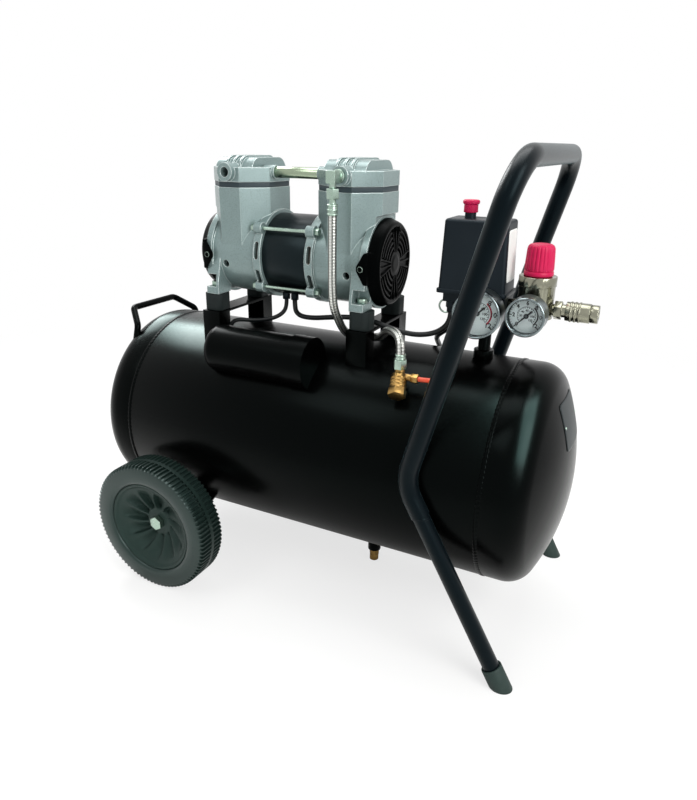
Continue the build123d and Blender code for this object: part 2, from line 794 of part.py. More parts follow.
with BuildPart() as gauge_cases:
    for x, z, r in gauges.values():
        rod_y(gauge_front, -31, x, z, r)
        rod_y(gauge_front, -34, x, z, r - 2.5, Mode.SUBTRACT)
        add(hex_prism((x, -31, z), (0, 1, 0), 13, 13))
    block(200, 246, -22, 0, base_bottom, cover_bottom, Mode.SUBTRACT)
    rod_z(420, 480, reg_x, 0, reg_r, Mode.SUBTRACT)
finish(gauge_cases, "gauge_cases")

with BuildPart() as gauge_faces:
    for x, z, r in gauges.values():
        rod_y(-44, -45, x, z, r - 2.6)
        rod_y(-45, -48, x, z, 1)
finish(gauge_faces, "gauge_faces")

with BuildPart() as gauge_lenses:
    for x, z, r in gauges.values():
        rod_y(-52, -54, x, z, r - 2.6)
finish(gauge_lenses, "gauge_lenses")

needle_rest = (cos(radians(225)), 0, sin(radians(225)))

for name, (x, z, r) in gauges.items():
    with BuildPart() as needle:
        with BuildSketch(Plane((x, -46.4, z), x_dir=needle_rest, z_dir=(0, -1, 0))):
            Circle(3)
            with BuildLine():
                tip = 0.7 * r
                tail = -0.4 * r
                Polyline((tail, -1.2), (tip, -0.4), (tip, 0.4), (tail, 1.2), close=True)
            make_face()
            Circle(1.05, mode=Mode.SUBTRACT)
        extrude(amount=0.8)
    finish(needle, f"gauge_needle_{name}")

# Regulator and quick coupler
with BuildPart() as regulator_body:
    rod_z(434, 474, reg_x, 0, reg_r)
    rod_z(428, 434, reg_x, 0, 14)
    rod_z(474, 486, reg_x, 0, reg_r + 1)
    rod_x(246, reg_x, 0, line_z, 8)
    rod_z(486, 504, reg_x, 0, 6)
finish(regulator_body, "regulator_body")

with BuildPart() as regulator_knob:
    rod_z(486.4, 524, reg_x, 0, 17.5)
    fillet(regulator_knob.edges().filter_by(GeomType.CIRCLE).sort_by(Axis.Z)[-1], 3)
    with BuildSketch(Plane.XY.offset(492)):
        with Locations((reg_x, 0)):
            with PolarLocations(18, 24):
                Circle(1.3)
    extrude(amount=26, mode=Mode.SUBTRACT)
    rod_z(480, 506, reg_x, 0, 6.08, Mode.SUBTRACT)
finish(regulator_knob, "regulator_knob")

with BuildPart() as coupler_body:
    rod_x(reg_x + 18, 304, 0, line_z, 7)
    rod_z(420, 480, reg_x, 0, reg_r, Mode.SUBTRACT)
    add(hex_prism((303, 0, line_z), (1, 0, 0), 20, 9))
    rod_x(312, tip_x, 0, line_z, 8)
    rod_x(346, tip_x, 0, line_z, 11)
    rod_x(330, tip_x, 0, line_z, 5.5, Mode.SUBTRACT)
finish(coupler_body, "coupler_body")

with BuildPart() as coupler_sleeve:
    rod_x(317, 345.6, 0, line_z, 11.8)
    for x in (322, 327, 332):
        rod_x(x, x + 2, 0, line_z, 12.6)
    rod_x(310, 350, 0, line_z, 8.06, Mode.SUBTRACT)
finish(coupler_sleeve, "coupler_sleeve")

# Safety valve on the manifold's left face, with its pull ring
safety_z = 435.0

with BuildPart() as safety_valve_body:
    add(hex_prism((200, 0, safety_z), (-1, 0, 0), 13, 8))
    rod_x(192, 181, 0, safety_z, 5.5)
    rod_x(180, 194, 0, safety_z, 1.56, Mode.SUBTRACT)
finish(safety_valve_body, "safety_valve_body")

with BuildPart() as safety_valve_ring:
    rod_x(192, 172, 0, safety_z, 1.5)
    with Locations((163.5, 0, safety_z)):
        Torus(8.5, 1.2, rotation=(90, 0, 0))
finish(safety_valve_ring, "safety_valve_ring")

# Drain cock under the tank
with BuildPart() as drain_valve_body:
    add(hex_prism((drain_x, 0, 30), (0, 0, -1), 14, 9))
    rod_z(10, 21, drain_x, 0, 3)
finish(drain_valve_body, "drain_valve_body")

with BuildPart() as drain_valve_knob:
    rod_z(11, 20.4, drain_x, 0, 7)
    with BuildSketch(Plane.XY.offset(11)):
        with Locations((drain_x, 0)):
            with PolarLocations(7.4, 16):
                Circle(0.8)
    extrude(amount=12, mode=Mode.SUBTRACT)
    rod_z(5, 25, drain_x, 0, 3.06, Mode.SUBTRACT)
finish(drain_valve_knob, "drain_valve_knob")

# Leads of the motor and the capacitor
lead_points = (
    (*lead_exit, grommet_bottom),
    (*lead_exit, 414),
    (-54, -22, 405),
    (-42, -27, 401),
    (-20, -30, 402),
    (8, -31, 407),
    (38, -30.5, 411),
    (70, -30, 410),
    (100, -27, 401),
    (128, -23, 396),
    (152, -19, 399),
    (168, -16, 408),
    (gland_x, -gland_y, 421),
    (gland_x, -gland_y, gland_bottom),
)
motor_lead = tube_along(lead_points, lead_d, "motor_lead")
finish(motor_lead, "motor_lead")

cap_lead_points = (
    (*cap_exit, grommet_bottom),
    (*cap_exit, 412),
    (-75, -22, 402),
    (-84, -30, 395),
    (-100, -37, 391),
    (-120, -42, 389),
    (-137, -45.5, 387),
    (-145, -47, 382.5),
    (-147, -48.5, 375.5),
    (-143, -50, 369.5),
    (-135, -51, 367),
    (-114, -52, 366.5),
    (-86, -51, 367),
    (-60, -48.5, 369.5),
    (-42, -45.5, 373),
    (-31, -44, 376.5),
    (hood_port_x, -48, 375.333),
    (hood_port_x, hood_y + 36, hood_z + 15),
)
capacitor_lead = tube_along(cap_lead_points, cap_lead_d, "capacitor_lead")
finish(capacitor_lead, "capacitor_lead")

# Mains cord over the back of the tank, its coil on the floor and its plug
coil_start = (coil_x + mains_d, coil_y + coil_r, coil_z)
mains_points = (
    (gland_x, gland_y, gland_bottom),
    (gland_x, gland_y, 420),
    (gland_x - 5, gland_y + 4, 405),
    (gland_x - 16, gland_y + 14, 390),
    (gland_x - 30, gland_y + 36, 376),
    (gland_x - 40, gland_y + 66, 359),
    (gland_x - 47, gland_y + 96, 334),
    (gland_x - 52, gland_y + 124, 299),
    (gland_x - 56, gland_y + 145, 256),
    (gland_x - 60, gland_y + 156, 208),
    (gland_x - 63, gland_y + 161, 158),
    (gland_x - 67, gland_y + 166, 110),
    (gland_x - 74, gland_y + 171, 66),
    (gland_x - 88, gland_y + 175, 30),
    (gland_x - 109, gland_y + 177, 10),
    (coil_x + 27, coil_y + coil_r, coil_z),
    coil_start,
)
mains_cord = tube_along(mains_points, mains_d, "mains_cord")
finish(mains_cord, "mains_cord")


def coil_stops():
    # Half turns of a two-centre spiral: in over the floor, up a layer, and out again on top.
    y = coil_y + coil_r
    stops = [(coil_x, y, coil_z)]
    heading = -1
    radii = [coil_r - coil_step * k for k in range(4)]
    for radius in radii:
        y += heading * 2 * radius
        stops.append((coil_x, y, coil_z))
        heading = -heading
    climb = coil_r - 4 * coil_step
    middle_y = y + heading * climb
    swing = sqrt(climb**2 + coil_layer**2 / 4)
    stops.append((coil_x + heading * swing, middle_y, coil_z + coil_layer / 2))
    y += heading * 2 * climb
    stops.append((coil_x, y, coil_z + coil_layer))
    heading = -heading
    for radius in radii[:0:-1]:
        y += heading * 2 * radius
        stops.append((coil_x, y, coil_z + coil_layer))
        heading = -heading
    return stops


with BuildPart() as mains_coil:
    with BuildLine() as turns:
        stops = coil_stops()
        piece = Line(coil_start, stops[0])
        for here, there in zip(stops, stops[1:]):
            piece = TangentArc(here, there, tangent=piece % 1)
        tail = Vector(stops[-1]) + (piece % 1) * mains_d
        Line(stops[-1], tail)
    loops = turns.wire()
    with BuildSketch(Plane(loops @ 0, z_dir=loops % 0)):
        Circle(mains_d / 2)
    sweep(path=loops)
finish(mains_coil, "mains_coil")

samples = 360
beads = [loops @ (i / samples) for i in range(samples + 1)]
apart = int(samples * 3 * mains_d / loops.length) + 1
spread = min(
    (beads[i] - beads[j]).length for i in range(samples + 1) for j in range(i + apart, samples + 1)
)
print("mains_coil length", round(loops.length, 1), "least gap", round(spread - mains_d, 2))

plug_r = 19.0
plug_x = tail.X - 34 - plug_r
plug_y = tail.Y

with BuildPart() as mains_plug:
    rod_z(0, 33, plug_x, plug_y, plug_r)
    rod_x(plug_x, tail.X, plug_y, tail.Z, 4.2)
    rod_x(plug_x, plug_x + plug_r + 10, plug_y, tail.Z, 7)
    split(bisect_by=Plane.XY, keep=Keep.TOP)
    for side in sides:
        rod_z(33, 52, plug_x, plug_y + side * 9.5, 2.4)
finish(mains_plug, "mains_plug")
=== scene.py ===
import math

import bmesh
import bpy
import numpy as np
from mathutils import Matrix


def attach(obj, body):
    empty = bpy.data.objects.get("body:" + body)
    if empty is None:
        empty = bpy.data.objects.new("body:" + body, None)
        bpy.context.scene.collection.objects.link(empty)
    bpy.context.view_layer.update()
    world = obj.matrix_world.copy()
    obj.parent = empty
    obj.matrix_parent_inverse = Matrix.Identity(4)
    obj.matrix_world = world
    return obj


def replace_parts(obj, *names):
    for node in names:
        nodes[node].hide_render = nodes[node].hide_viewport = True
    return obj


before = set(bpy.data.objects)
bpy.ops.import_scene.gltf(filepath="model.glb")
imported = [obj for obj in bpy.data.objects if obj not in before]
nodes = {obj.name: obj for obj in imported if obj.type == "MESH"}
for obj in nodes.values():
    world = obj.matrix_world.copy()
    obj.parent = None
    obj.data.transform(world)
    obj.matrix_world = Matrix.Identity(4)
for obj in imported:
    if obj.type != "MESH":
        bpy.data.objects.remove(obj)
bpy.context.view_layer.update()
mm = 0.001  # every shape below is worked out in millimetres
rootBody = "compressor"
turn = 2 * math.pi
print("frame loaded:", len(nodes), "nodes")


def addObject(name, data):
    made = bpy.data.objects.new(name, data)
    bpy.context.scene.collection.objects.link(made)
    return made


# The photograph's camera: where it stands and how it is turned, in degrees
photoView = {
    "place": (433.0, -827.6, 633.3), "yaw": 26.55, "pitch": 21.13, "roll": 0.756,
    "focalPixels": 660.4, "picture": (697, 800), "opticalCentre": (347.0, 399.1), "sensorWidth": 36.0,
}


def setCamera(view):
    yaw, pitch, roll = (math.radians(view[key]) for key in ("yaw", "pitch", "roll"))
    level = math.cos(pitch)
    back = np.array((math.sin(yaw) * level, -math.cos(yaw) * level, math.sin(pitch)))
    right = np.array((math.cos(yaw), math.sin(yaw), 0.0))
    up = np.cross(back, right)
    axes = np.eye(4)
    axes[:3, 0] = math.cos(roll) * right + math.sin(roll) * up
    axes[:3, 1] = math.cos(roll) * up - math.sin(roll) * right
    axes[:3, 2] = back
    axes[:3, 3] = np.array(view["place"]) * mm
    lens = bpy.data.cameras.new("photoCamera")
    longSide = max(view["picture"])
    lens.sensor_width = view["sensorWidth"]
    lens.lens = view["focalPixels"] / longSide * lens.sensor_width
    lens.shift_x = (view["picture"][0] / 2 - view["opticalCentre"][0]) / longSide
    lens.shift_y = (view["opticalCentre"][1] - view["picture"][1] / 2) / longSide
    camera = addObject("photoCamera", lens)
    camera.matrix_world = Matrix(axes.tolist())
    bpy.context.scene.camera = camera


setCamera(photoView)
print("camera set")


def linear(code):  # sRGB hex to linear RGBA
    parts = np.array([int(code[i:i + 2], 16) for i in (1, 3, 5)]) / 255
    curved = ((parts + 0.055) / 1.055) ** 2.4
    return (*np.where(parts <= 0.04045, parts / 12.92, curved).tolist(), 1.0)


def addNode(tree, kind, sockets=None, **settings):
    # One node with its settings, values and links; a node given as a source stands for its first output
    made = tree.nodes.new("ShaderNode" + kind)
    for key, value in settings.items():
        setattr(made, key, value)
    for socket, source in (sockets or {}).items():
        if isinstance(source, bpy.types.Node):
            source = source.outputs[0]
        if isinstance(source, bpy.types.NodeSocket):
            tree.links.new(source, made.inputs[socket])
        else:
            made.inputs[socket].default_value = source
    return made


def startMaterial(name, spec):
    material = bpy.data.materials.new(name)
    material.use_nodes = True
    shader = material.node_tree.nodes["Principled BSDF"]
    sockets = {
        "metallic": "Metallic", "specular": "Specular IOR Level", "tint": "Specular Tint",
        "sheen": "Sheen Weight", "sheenRough": "Sheen Roughness", "sheenTint": "Sheen Tint",
    }
    for key in sockets.keys() & spec.keys():
        value = spec[key]
        shader.inputs[sockets[key]].default_value = linear(value) if isinstance(value, str) else value
    return material, material.node_tree, shader


def joinShader(tree, shader, tint, gloss, bump):
    tree.links.new(tint.outputs[2], shader.inputs["Base Color"])
    tree.links.new(gloss.outputs["Result"], shader.inputs["Roughness"])
    tree.links.new(bump.outputs["Normal"], shader.inputs["Normal"])


# What a coating has where its own line doesn't say; sizes in millimetres
plainCoating = {"spread": 0.06, "grain": 0.8, "relief": 0.03, "strength": 0.3, "cloud": 45, "stretch": (1, 1, 1)}


def coating(name, colour, drift, rough, **own):
    # Colour drifts over "cloud" millimetres, and a finer "grain" varies the gloss and lifts the surface
    spec = {**plainCoating, **own}
    material, tree, shader = startMaterial(name, spec)
    where = addNode(tree, "TexCoord").outputs["Object"]
    drawn = addNode(tree, "Mapping", {"Vector": where, "Scale": spec["stretch"]})
    cloud, grain = (
        addNode(tree, "TexNoise", {"Vector": source, "Scale": 1 / (spec[key] * mm), "Detail": detail})
        for key, source, detail in (("cloud", where, 3.0), ("grain", drawn, 4.0))
    )
    tint = addNode(tree, "Mix", {0: cloud, 6: linear(colour), 7: linear(drift)}, data_type="RGBA")
    gloss = addNode(tree, "MapRange", {
        "Value": grain, "From Min": 0.3, "From Max": 0.7,
        "To Min": rough - spec["spread"], "To Max": rough + spec["spread"],
    })
    bump = addNode(tree, "Bump", {"Strength": spec["strength"], "Distance": spec["relief"] * mm, "Height": grain})
    if "round" in spec:  # cast corners catch the light as if they had a small radius, and their colour is made paler there as a painted highlight
        corner = addNode(tree, "Bevel", {"Radius": spec["round"] * mm}, samples=6).outputs["Normal"]
        tree.links.new(corner, bump.inputs["Normal"])
        flat = addNode(tree, "NewGeometry").outputs["Normal"]
        agree = addNode(tree, "VectorMath", {0: corner, 1: flat}, operation="DOT_PRODUCT")
        # painted highlight: the colour turns paler where the corner's rounded normal leaves the flat one
        paintedEdgeHighlight = addNode(tree, "MapRange", {"Value": agree.outputs["Value"], "From Min": 0.99, "From Max": 0.8})
        tint = addNode(tree, "Mix", {0: paintedEdgeHighlight, 6: tint.outputs[2], 7: linear(spec["edge"])}, data_type="RGBA")
    joinShader(tree, shader, tint, gloss, bump)
    return material


# Sprayed black enamel on steel: deep black to the front, cool gloss where the eye grazes it
tankEnamel = coating(
    "blackTankEnamel", "#010101", "#020202", 0.24, spread=0.02, specular=0.06, tint="#b8d0cd",
    grain=4.0, relief=0.01, strength=0.1, cloud=120)
# Powder coat: satin blue-black, with a cool bloom along the tube's edges
powderCoat = coating(
    "blackPowderCoat", "#05090c", "#080e12", 0.32, spread=0.02, specular=0.4, tint="#56686c",
    grain=2.0, relief=0.003, strength=0.08, cloud=90, sheen=0.09, sheenRough=0.25, sheenTint="#a4d6de")
# Moulded rubber: matte, dusty, no gloss
mouldedRubber = coating(
    "mouldedRubber", "#141a1a", "#1e2626", 0.7, specular=0.2, grain=0.9, relief=0.06, strength=0.5)
capRubber = coating(
    "footCapRubber", "#1e2c29", "#2a3935", 0.62, specular=0.25, grain=0.9, relief=0.06, strength=0.5, cloud=12)
# Wheel plastic: dark grey-green polypropylene with a satin moulded skin; the tyre is darker and glossier
wheelPlastic = coating(
    "wheelPolypropylene", "#16231f", "#202f2b", 0.46, specular=0.26, tint="#d6f0ec",
    grain=1.0, relief=0.05, strength=0.35, cloud=70)
tyreCompound = coating(
    "tyreCompound", "#101b18", "#182421", 0.33, specular=0.5, tint="#d6f0ec", relief=0.05, strength=0.5, cloud=50)
# Zinc plate: bright grey with a faint blue and green drift
zincPlate = coating("zincPlate", "#93ab99", "#a9b9b0", 0.3, metallic=1.0, spread=0.07, grain=1.0, cloud=9)
# Yellow passivated zinc on the transfer tube, drawn lengthwise
yellowZinc = coating(
    "yellowZincPlate", "#8b9a83", "#a0ac95", 0.22, metallic=1.0,
    grain=0.9, stretch=(0.1, 1, 1), relief=0.01, strength=0.2, cloud=20)
# Silver lacquer over a die casting: fine sparkle, satin, faint casting mottle, and a painted highlight on its corners
castLacquer = coating(
    "silverCastLacquer", "#738584", "#829493", 0.3, metallic=0.35, specular=0.5,
    grain=0.9, relief=0.04, cloud=30, round=1.5, edge="#dbe6e3")
# Coated gasket plate: slate, nearly matte
slateGasket = coating(
    "slateGasket", "#243034", "#2e3b40", 0.5, specular=0.3, grain=1.1, relief=0.04, strength=0.5, cloud=25)
# Black ABS: satin moulded covers, the blackest over the fans
blackAbs = coating("blackAbs", "#0d1216", "#14191e", 0.4, specular=0.18, tint="#d5ecf6", cloud=40)
fanAbs = coating(
    "fanCoverAbs", "#030404", "#050606", 0.34, specular=0.05, tint="#404a4a", grain=0.7, relief=0.04, cloud=30)
# Machined brass: warm, lightly turned
turnedBrass = coating("turnedBrass", "#927140", "#a68751", 0.3, metallic=1.0, grain=0.6, strength=0.4, cloud=8)
# Nickel plate on the regulator and coupler: warm grey, satin mirror
nickelPlate = coating(
    "nickelPlate", "#828272", "#929182", 0.22, metallic=1.0, spread=0.04, relief=0.008, strength=0.2, cloud=14)
# Chrome on the gauges' bezels, a clean mirror, and duller steel on their cases
chromePlate = coating(
    "chromePlate", "#6c7678", "#808a8b", 0.17, metallic=1.0, spread=0.03, relief=0.004, strength=0.12, cloud=14)
gaugeSteel = coating("gaugeCaseSteel", "#586264", "#6b7476", 0.36, metallic=1.0, grain=0.7, relief=0.02, cloud=15)
# Crimson ABS knobs: bright, satin, slightly waxy
crimsonAbs = coating("crimsonAbs", "#b10940", "#bd0f4b", 0.42, specular=0.25, grain=0.7, cloud=12)
# PVC cable sheath: black, soft sheen
cableSheath = coating("pvcSheath", "#0b0e0f", "#121617", 0.4, specular=0.28, cloud=20)
# Nylon tube: orange red and solid to the eye
nylonTube = coating("orangeNylonTube", "#c23d22", "#d15234", 0.3, specular=0.4, relief=0.01, strength=0.2, cloud=10)
# Printed card dial: pale blue-grey, matte
dialCard = coating("paleDialCard", "#d3e4e3", "#dfecec", 0.6, grain=0.5, relief=0.01, strength=0.2, cloud=12)
dialInk = coating("blackDialInk", "#12181a", "#1a2022", 0.55, grain=0.5, relief=0.005, strength=0.2)
redInk = coating("redDialInk", "#a81b36", "#b6243f", 0.55, grain=0.5, relief=0.005, strength=0.2)
# Dark painted plate on the tank's head, pale film on the switch
plateAlloy = coating("paintedPlate", "#10181a", "#182224", 0.42, specular=0.25, cloud=12)
labelFilm = coating("plainLabelFilm", "#d9dcd8", "#e3e5e1", 0.4, grain=0.9, relief=0.01, strength=0.2, cloud=25)
# Inside the pump: turned steel and alloy, wound copper, a white capacitor
turnedSteel = coating("turnedSteel", "#9a9ea0", "#aeb1b3", 0.25, metallic=1.0, stretch=(0.2, 1, 1), relief=0.02)
copperWire = coating(
    "enamelledCopper", "#8f4a22", "#a85c2e", 0.35, metallic=0.8, stretch=(3, 0.3, 0.3), relief=0.2, strength=0.6)
turnedAlloy = coating("turnedAlloy", "#a9adaf", "#bcbfc0", 0.3, metallic=1.0, relief=0.02)
whiteCan = coating("whiteCapacitorCan", "#d5d6d2", "#dedfdb", 0.4, relief=0.02, strength=0.2)

# Varnished lamination stack: fine rings along the motor's axis, drawn coarse enough to show
laminations = {"sheet": 1.5, "dust": 22, "colour": "#080c0e", "drift": "#0e1416"}


def laminatedSteel(spec):
    material, tree, shader = startMaterial("varnishedLaminations", {"specular": 0.2, "tint": "#c2e2ea"})
    where = addNode(tree, "TexCoord").outputs["Object"]
    sheets = addNode(tree, "TexWave", {
        "Vector": where, "Distortion": 0.0,
        "Scale": turn / (20 * spec["sheet"] * mm),  # at scale 1 the wave runs through 20 radians per metre
    }, bands_direction="X")
    dust = addNode(tree, "TexNoise", {"Vector": where, "Scale": 1 / (spec["dust"] * mm), "Detail": 4.0})
    tint = addNode(tree, "Mix", {0: dust, 6: linear(spec["colour"]), 7: linear(spec["drift"])}, data_type="RGBA")
    gloss = addNode(tree, "MapRange", {"Value": dust, "To Min": 0.24, "To Max": 0.4})
    bump = addNode(tree, "Bump", {"Strength": 0.1, "Distance": 0.1 * mm, "Height": sheets.outputs["Fac"]})
    joinShader(tree, shader, tint, gloss, bump)
    return material


def clearLens():
    # Acrylic gauge lens: clear, with the faintest dust
    material, tree, shader = startMaterial("acrylicLens", {"specular": 0.4})
    shader.inputs["Transmission Weight"].default_value = 1.0
    shader.inputs["IOR"].default_value = 1.2
    where = addNode(tree, "TexCoord").outputs["Object"]
    dust = addNode(tree, "TexNoise", {"Vector": where, "Scale": 1 / (4 * mm), "Detail": 3.0})
    gloss = addNode(tree, "MapRange", {"Value": dust, "To Min": 0.0, "To Max": 0.05})
    tree.links.new(gloss.outputs["Result"], shader.inputs["Roughness"])
    return material


# Stainless braid: bright wires that cross, with painted shade where the weave sinks and six straight stripes of painted
# highlight and shade round the hose
braid = {"strands": 7, "pitch": 7.5, "paintedStripes": 6, "relief": 0.5, "bright": "#f0f2ec", "dark": "#3a3d39"}


def stainlessBraid(spec):
    # The wires' height is the product of two slanted waves over the hose's length and girth
    material, tree, shader = startMaterial("stainlessBraid", {"metallic": 1.0})
    where = addNode(tree, "UVMap", uv_map="UVMap")
    split = addNode(tree, "SeparateXYZ", {0: where})
    girth, along, paintedStripes = (
        addNode(tree, "Math", {0: split.outputs[axis], 1: turn * repeats}, operation="MULTIPLY")
        for axis, repeats in (("X", spec["strands"]), ("Y", 1 / spec["pitch"]), ("X", spec["paintedStripes"]))
    )
    waves = []
    for operation in ("ADD", "SUBTRACT"):
        slant = addNode(tree, "Math", {0: girth, 1: along}, operation=operation)
        waves.append(addNode(tree, "Math", {0: slant}, operation="SINE"))
    weave = addNode(tree, "Math", {0: waves[0], 1: waves[1]}, operation="MULTIPLY")
    height = addNode(tree, "MapRange", {"Value": weave, "From Min": -1.0, "From Max": 1.0})
    # Straight stripes round the hose: painted highlight and shade
    ridge = addNode(tree, "Math", {0: paintedStripes}, operation="SINE")
    lit = addNode(tree, "MapRange", {
        "Value": ridge, "From Min": -1.0, "From Max": 0.2, "To Min": 0.1, "To Max": 1.0,
    })
    # Darker where the weave sinks: painted shade
    weaveShade = addNode(tree, "MapRange", {"Value": height, "To Min": 0.35, "To Max": 1.0})
    shine = addNode(tree, "Math", {0: weaveShade, 1: lit}, operation="MULTIPLY")
    tint = addNode(tree, "Mix", {0: shine, 6: linear(spec["dark"]), 7: linear(spec["bright"])}, data_type="RGBA")
    gloss = addNode(tree, "MapRange", {"Value": height, "To Min": 0.45, "To Max": 0.22})
    bump = addNode(tree, "Bump", {"Strength": 0.7, "Distance": spec["relief"] * mm, "Height": height})
    joinShader(tree, shader, tint, gloss, bump)
    return material


lensAcrylic = clearLens()
statorSteel = laminatedSteel(laminations)
hoseBraid = stainlessBraid(braid)
print("finishes made:", len(bpy.data.materials))


def gridFaces(rows, cols, loopRows, loopCols):  # quads of a grid, closed on itself where asked
    r = np.arange(rows if loopRows else rows - 1)[:, None]
    c = np.arange(cols if loopCols else cols - 1)[None, :]
    below, right = (r + 1) % rows, (c + 1) % cols
    quads = np.stack([r * cols + c, r * cols + right, below * cols + right, below * cols + c], -1)
    return quads.reshape(-1, 4)


def makePiece(name, points, faces, material, body=rootBody, sharp=40, uv=None, tidy=True):
    mesh = bpy.data.meshes.new(name)
    mesh.from_pydata((np.asarray(points).reshape(-1, 3) * mm).tolist(), [], np.asarray(faces).tolist())
    if uv is not None:
        mesh.uv_layers.new(name="UVMap").data.foreach_set("uv", np.asarray(uv, float).ravel())
    if tidy:  # poles and seams are merged, then the faces are turned outwards
        work = bmesh.new()
        work.from_mesh(mesh)
        bmesh.ops.remove_doubles(work, verts=work.verts, dist=1e-6)
        bmesh.ops.recalc_face_normals(work, faces=work.faces)
        work.to_mesh(mesh)
        work.free()
    mesh.shade_smooth()
    mesh.set_sharp_from_angle(angle=math.radians(sharp))
    piece = addObject(name, mesh)
    mesh.materials.append(material)
    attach(piece, body)
    return piece


def makeSurface(name, grid, material, body=rootBody, loopRows=False, sharp=40, uv=None):
    faces = gridFaces(grid.shape[0], grid.shape[1], loopRows, True)
    return makePiece(name, grid, faces, material, body, sharp, uv)


def unit(vector):
    return vector / np.linalg.norm(vector)


def ringAngles(count):  # one row of angles round a full turn
    return np.linspace(0, turn, count, endpoint=False)[None, :]


def pointsAt(x, y, z):
    return np.stack(np.broadcast_arrays(x, y, z), -1)


def lathe(profile, origin, axis, steps=96):  # each (along, radius) is carried round the axis through origin
    profile, axis = np.asarray(profile, float), np.asarray(axis, float)
    first = np.array((0.0, 0.0, 1.0)) if abs(axis[2]) < 0.5 else np.array((1.0, 0.0, 0.0))
    second = np.cross(axis, first)
    angle = ringAngles(steps).T
    spoke = np.cos(angle) * first + np.sin(angle) * second
    return np.asarray(origin) + profile[:, None, :1] * axis + profile[:, None, 1:] * spoke[None]


def softened(corners, radius, steps=4):  # corners of an outline rounded off by short parabolas
    corners = np.asarray(corners, float)
    out = [corners[:1]]
    t = np.linspace(0, 1, steps + 1)[:, None]
    for before, here, after in zip(corners, corners[1:], corners[2:]):
        inward, outward = before - here, after - here
        lengthIn, lengthOut = np.linalg.norm(inward), np.linalg.norm(outward)
        cut = min(radius, 0.45 * lengthIn, 0.45 * lengthOut)
        start, end = here + inward / lengthIn * cut, here + outward / lengthOut * cut
        out.append((1 - t) ** 2 * start + 2 * t * (1 - t) * here + t ** 2 * end)
    return np.concatenate([*out, corners[-1:]])


def smoothStep(low, high, value):
    t = np.clip((value - low) / (high - low), 0, 1)
    return t * t * (3 - 2 * t)


def cordLine(name, points):  # one open NURBS spline through the route's control points
    data = bpy.data.curves.new(name, "CURVE")
    data.dimensions = "3D"
    data.resolution_u = 12
    spline = data.splines.new("NURBS")
    spline.points.add(len(points) - 1)
    weighted = np.c_[np.asarray(points, float) * mm, np.ones(len(points))]
    spline.points.foreach_set("co", weighted.ravel())
    spline.order_u = 3
    spline.use_endpoint_u = True
    return addObject(name, data)


def makeCord(name, points, diameter, material, replaced):
    cord = cordLine(name, points)
    cord.data.bevel_depth = diameter / 2 * mm
    cord.data.bevel_resolution = 6
    cord.data.use_fill_caps = True
    cord.data.materials.append(material)
    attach(cord, rootBody)
    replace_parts(cord, *replaced)
    return cord


def takeMesh(made):  # points in millimetres and faces of an object that is then removed
    graph = bpy.context.evaluated_depsgraph_get()
    mesh = bpy.data.meshes.new_from_object(made.evaluated_get(graph))
    points = np.zeros(len(mesh.vertices) * 3)
    mesh.vertices.foreach_get("co", points)
    faces = [list(face.vertices) for face in mesh.polygons]
    bpy.data.objects.remove(made)
    bpy.data.meshes.remove(mesh)
    return points.reshape(-1, 3) / mm, faces


def traced(points):  # the points that the smooth spline runs through
    return takeMesh(cordLine("routeTrace", points))[0]


def runAlong(path):  # distance from the start to each point of the path
    return np.concatenate([[0], np.cumsum(np.linalg.norm(np.diff(path, axis=0), axis=1))])


def tubeGrid(path, radius, around):  # a ring carried along the path, turning as little as it can
    along = np.gradient(path, axis=0)
    along /= np.linalg.norm(along, axis=1)[:, None]
    side = np.cross(along[0], (0.3, 0.9, 0.1))
    spokes = []
    for direction in along:
        side = unit(side - direction * (side @ direction))
        spokes.append(side)
    spokes = np.array(spokes)
    other = np.cross(along, spokes)
    angle = ringAngles(around)[..., None]
    radius = np.asarray(radius, float).reshape(-1, 1, 1)
    return path[:, None] + radius * (np.cos(angle) * spokes[:, None] + np.sin(angle) * other[:, None])


def cappedTube(path, radius, around):  # the same, closed at the middle of both ends
    ends = np.broadcast_to(path[[0, -1]][:, None], (2, around, 3))
    return np.concatenate([ends[:1], tubeGrid(path, radius, around), ends[1:]])


hose = {
    "diameter": 11.0, "around": 28,
    "route": (
        (37, -82, 550), (37, -82, 500), (36.8, -81.5, 455), (37, -77, 432), (38, -66, 415), (38.5, -53, 398.5),
        (44, -41, 388), (56, -35, 385.5), (72, -35, 387.5), (87, -37.5, 391), (97, -49, 399), (106, -62, 407.5),
        (117, -75, 413), (129, -85, 413.5), (138, -94, 409.5), (142, -99, 401.5), (142, -99, 392),
    ),
}
crimp = {
    "radius": 6.45, "around": 48, "heights": {"Top": (551.5, 557, 562.5), "Low": (386.5, 390.5)},
    "ring": ((-1.4, -0.4), (-0.9, 0.35), (0.0, 0.6), (0.9, 0.35), (1.4, -0.4)),
}


def makeHose(spec):
    route = spec["route"]
    path = traced(route)
    grid = cappedTube(path, spec["diameter"] / 2, spec["around"])
    run = np.pad(runAlong(path), 1, "edge")
    r, c = np.meshgrid(np.arange(len(grid) - 1), np.arange(spec["around"]), indexing="ij")
    girth = np.stack([c, c + 1, c + 1, c], -1) / spec["around"]
    length = np.stack([run[r], run[r], run[r + 1], run[r + 1]], -1)
    piece = makeSurface("braidedHose", grid, hoseBraid, sharp=50, uv=np.stack([girth, length], -1))
    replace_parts(piece, "braided_hose")
    for (place, heights), (x, y, z) in zip(crimp["heights"].items(), (route[0], route[-1])):
        waves = [(height + up, crimp["radius"] + out) for height in heights for up, out in crimp["ring"]]
        outline = [(waves[0][0], 0.0), *waves, (waves[-1][0], 0.0)]
        rings = lathe(outline, (x, y, 0), (0, 0, 1), crimp["around"])
        makeSurface("crimpRings" + place, rings, zincPlate, sharp=50)


makeHose(hose)

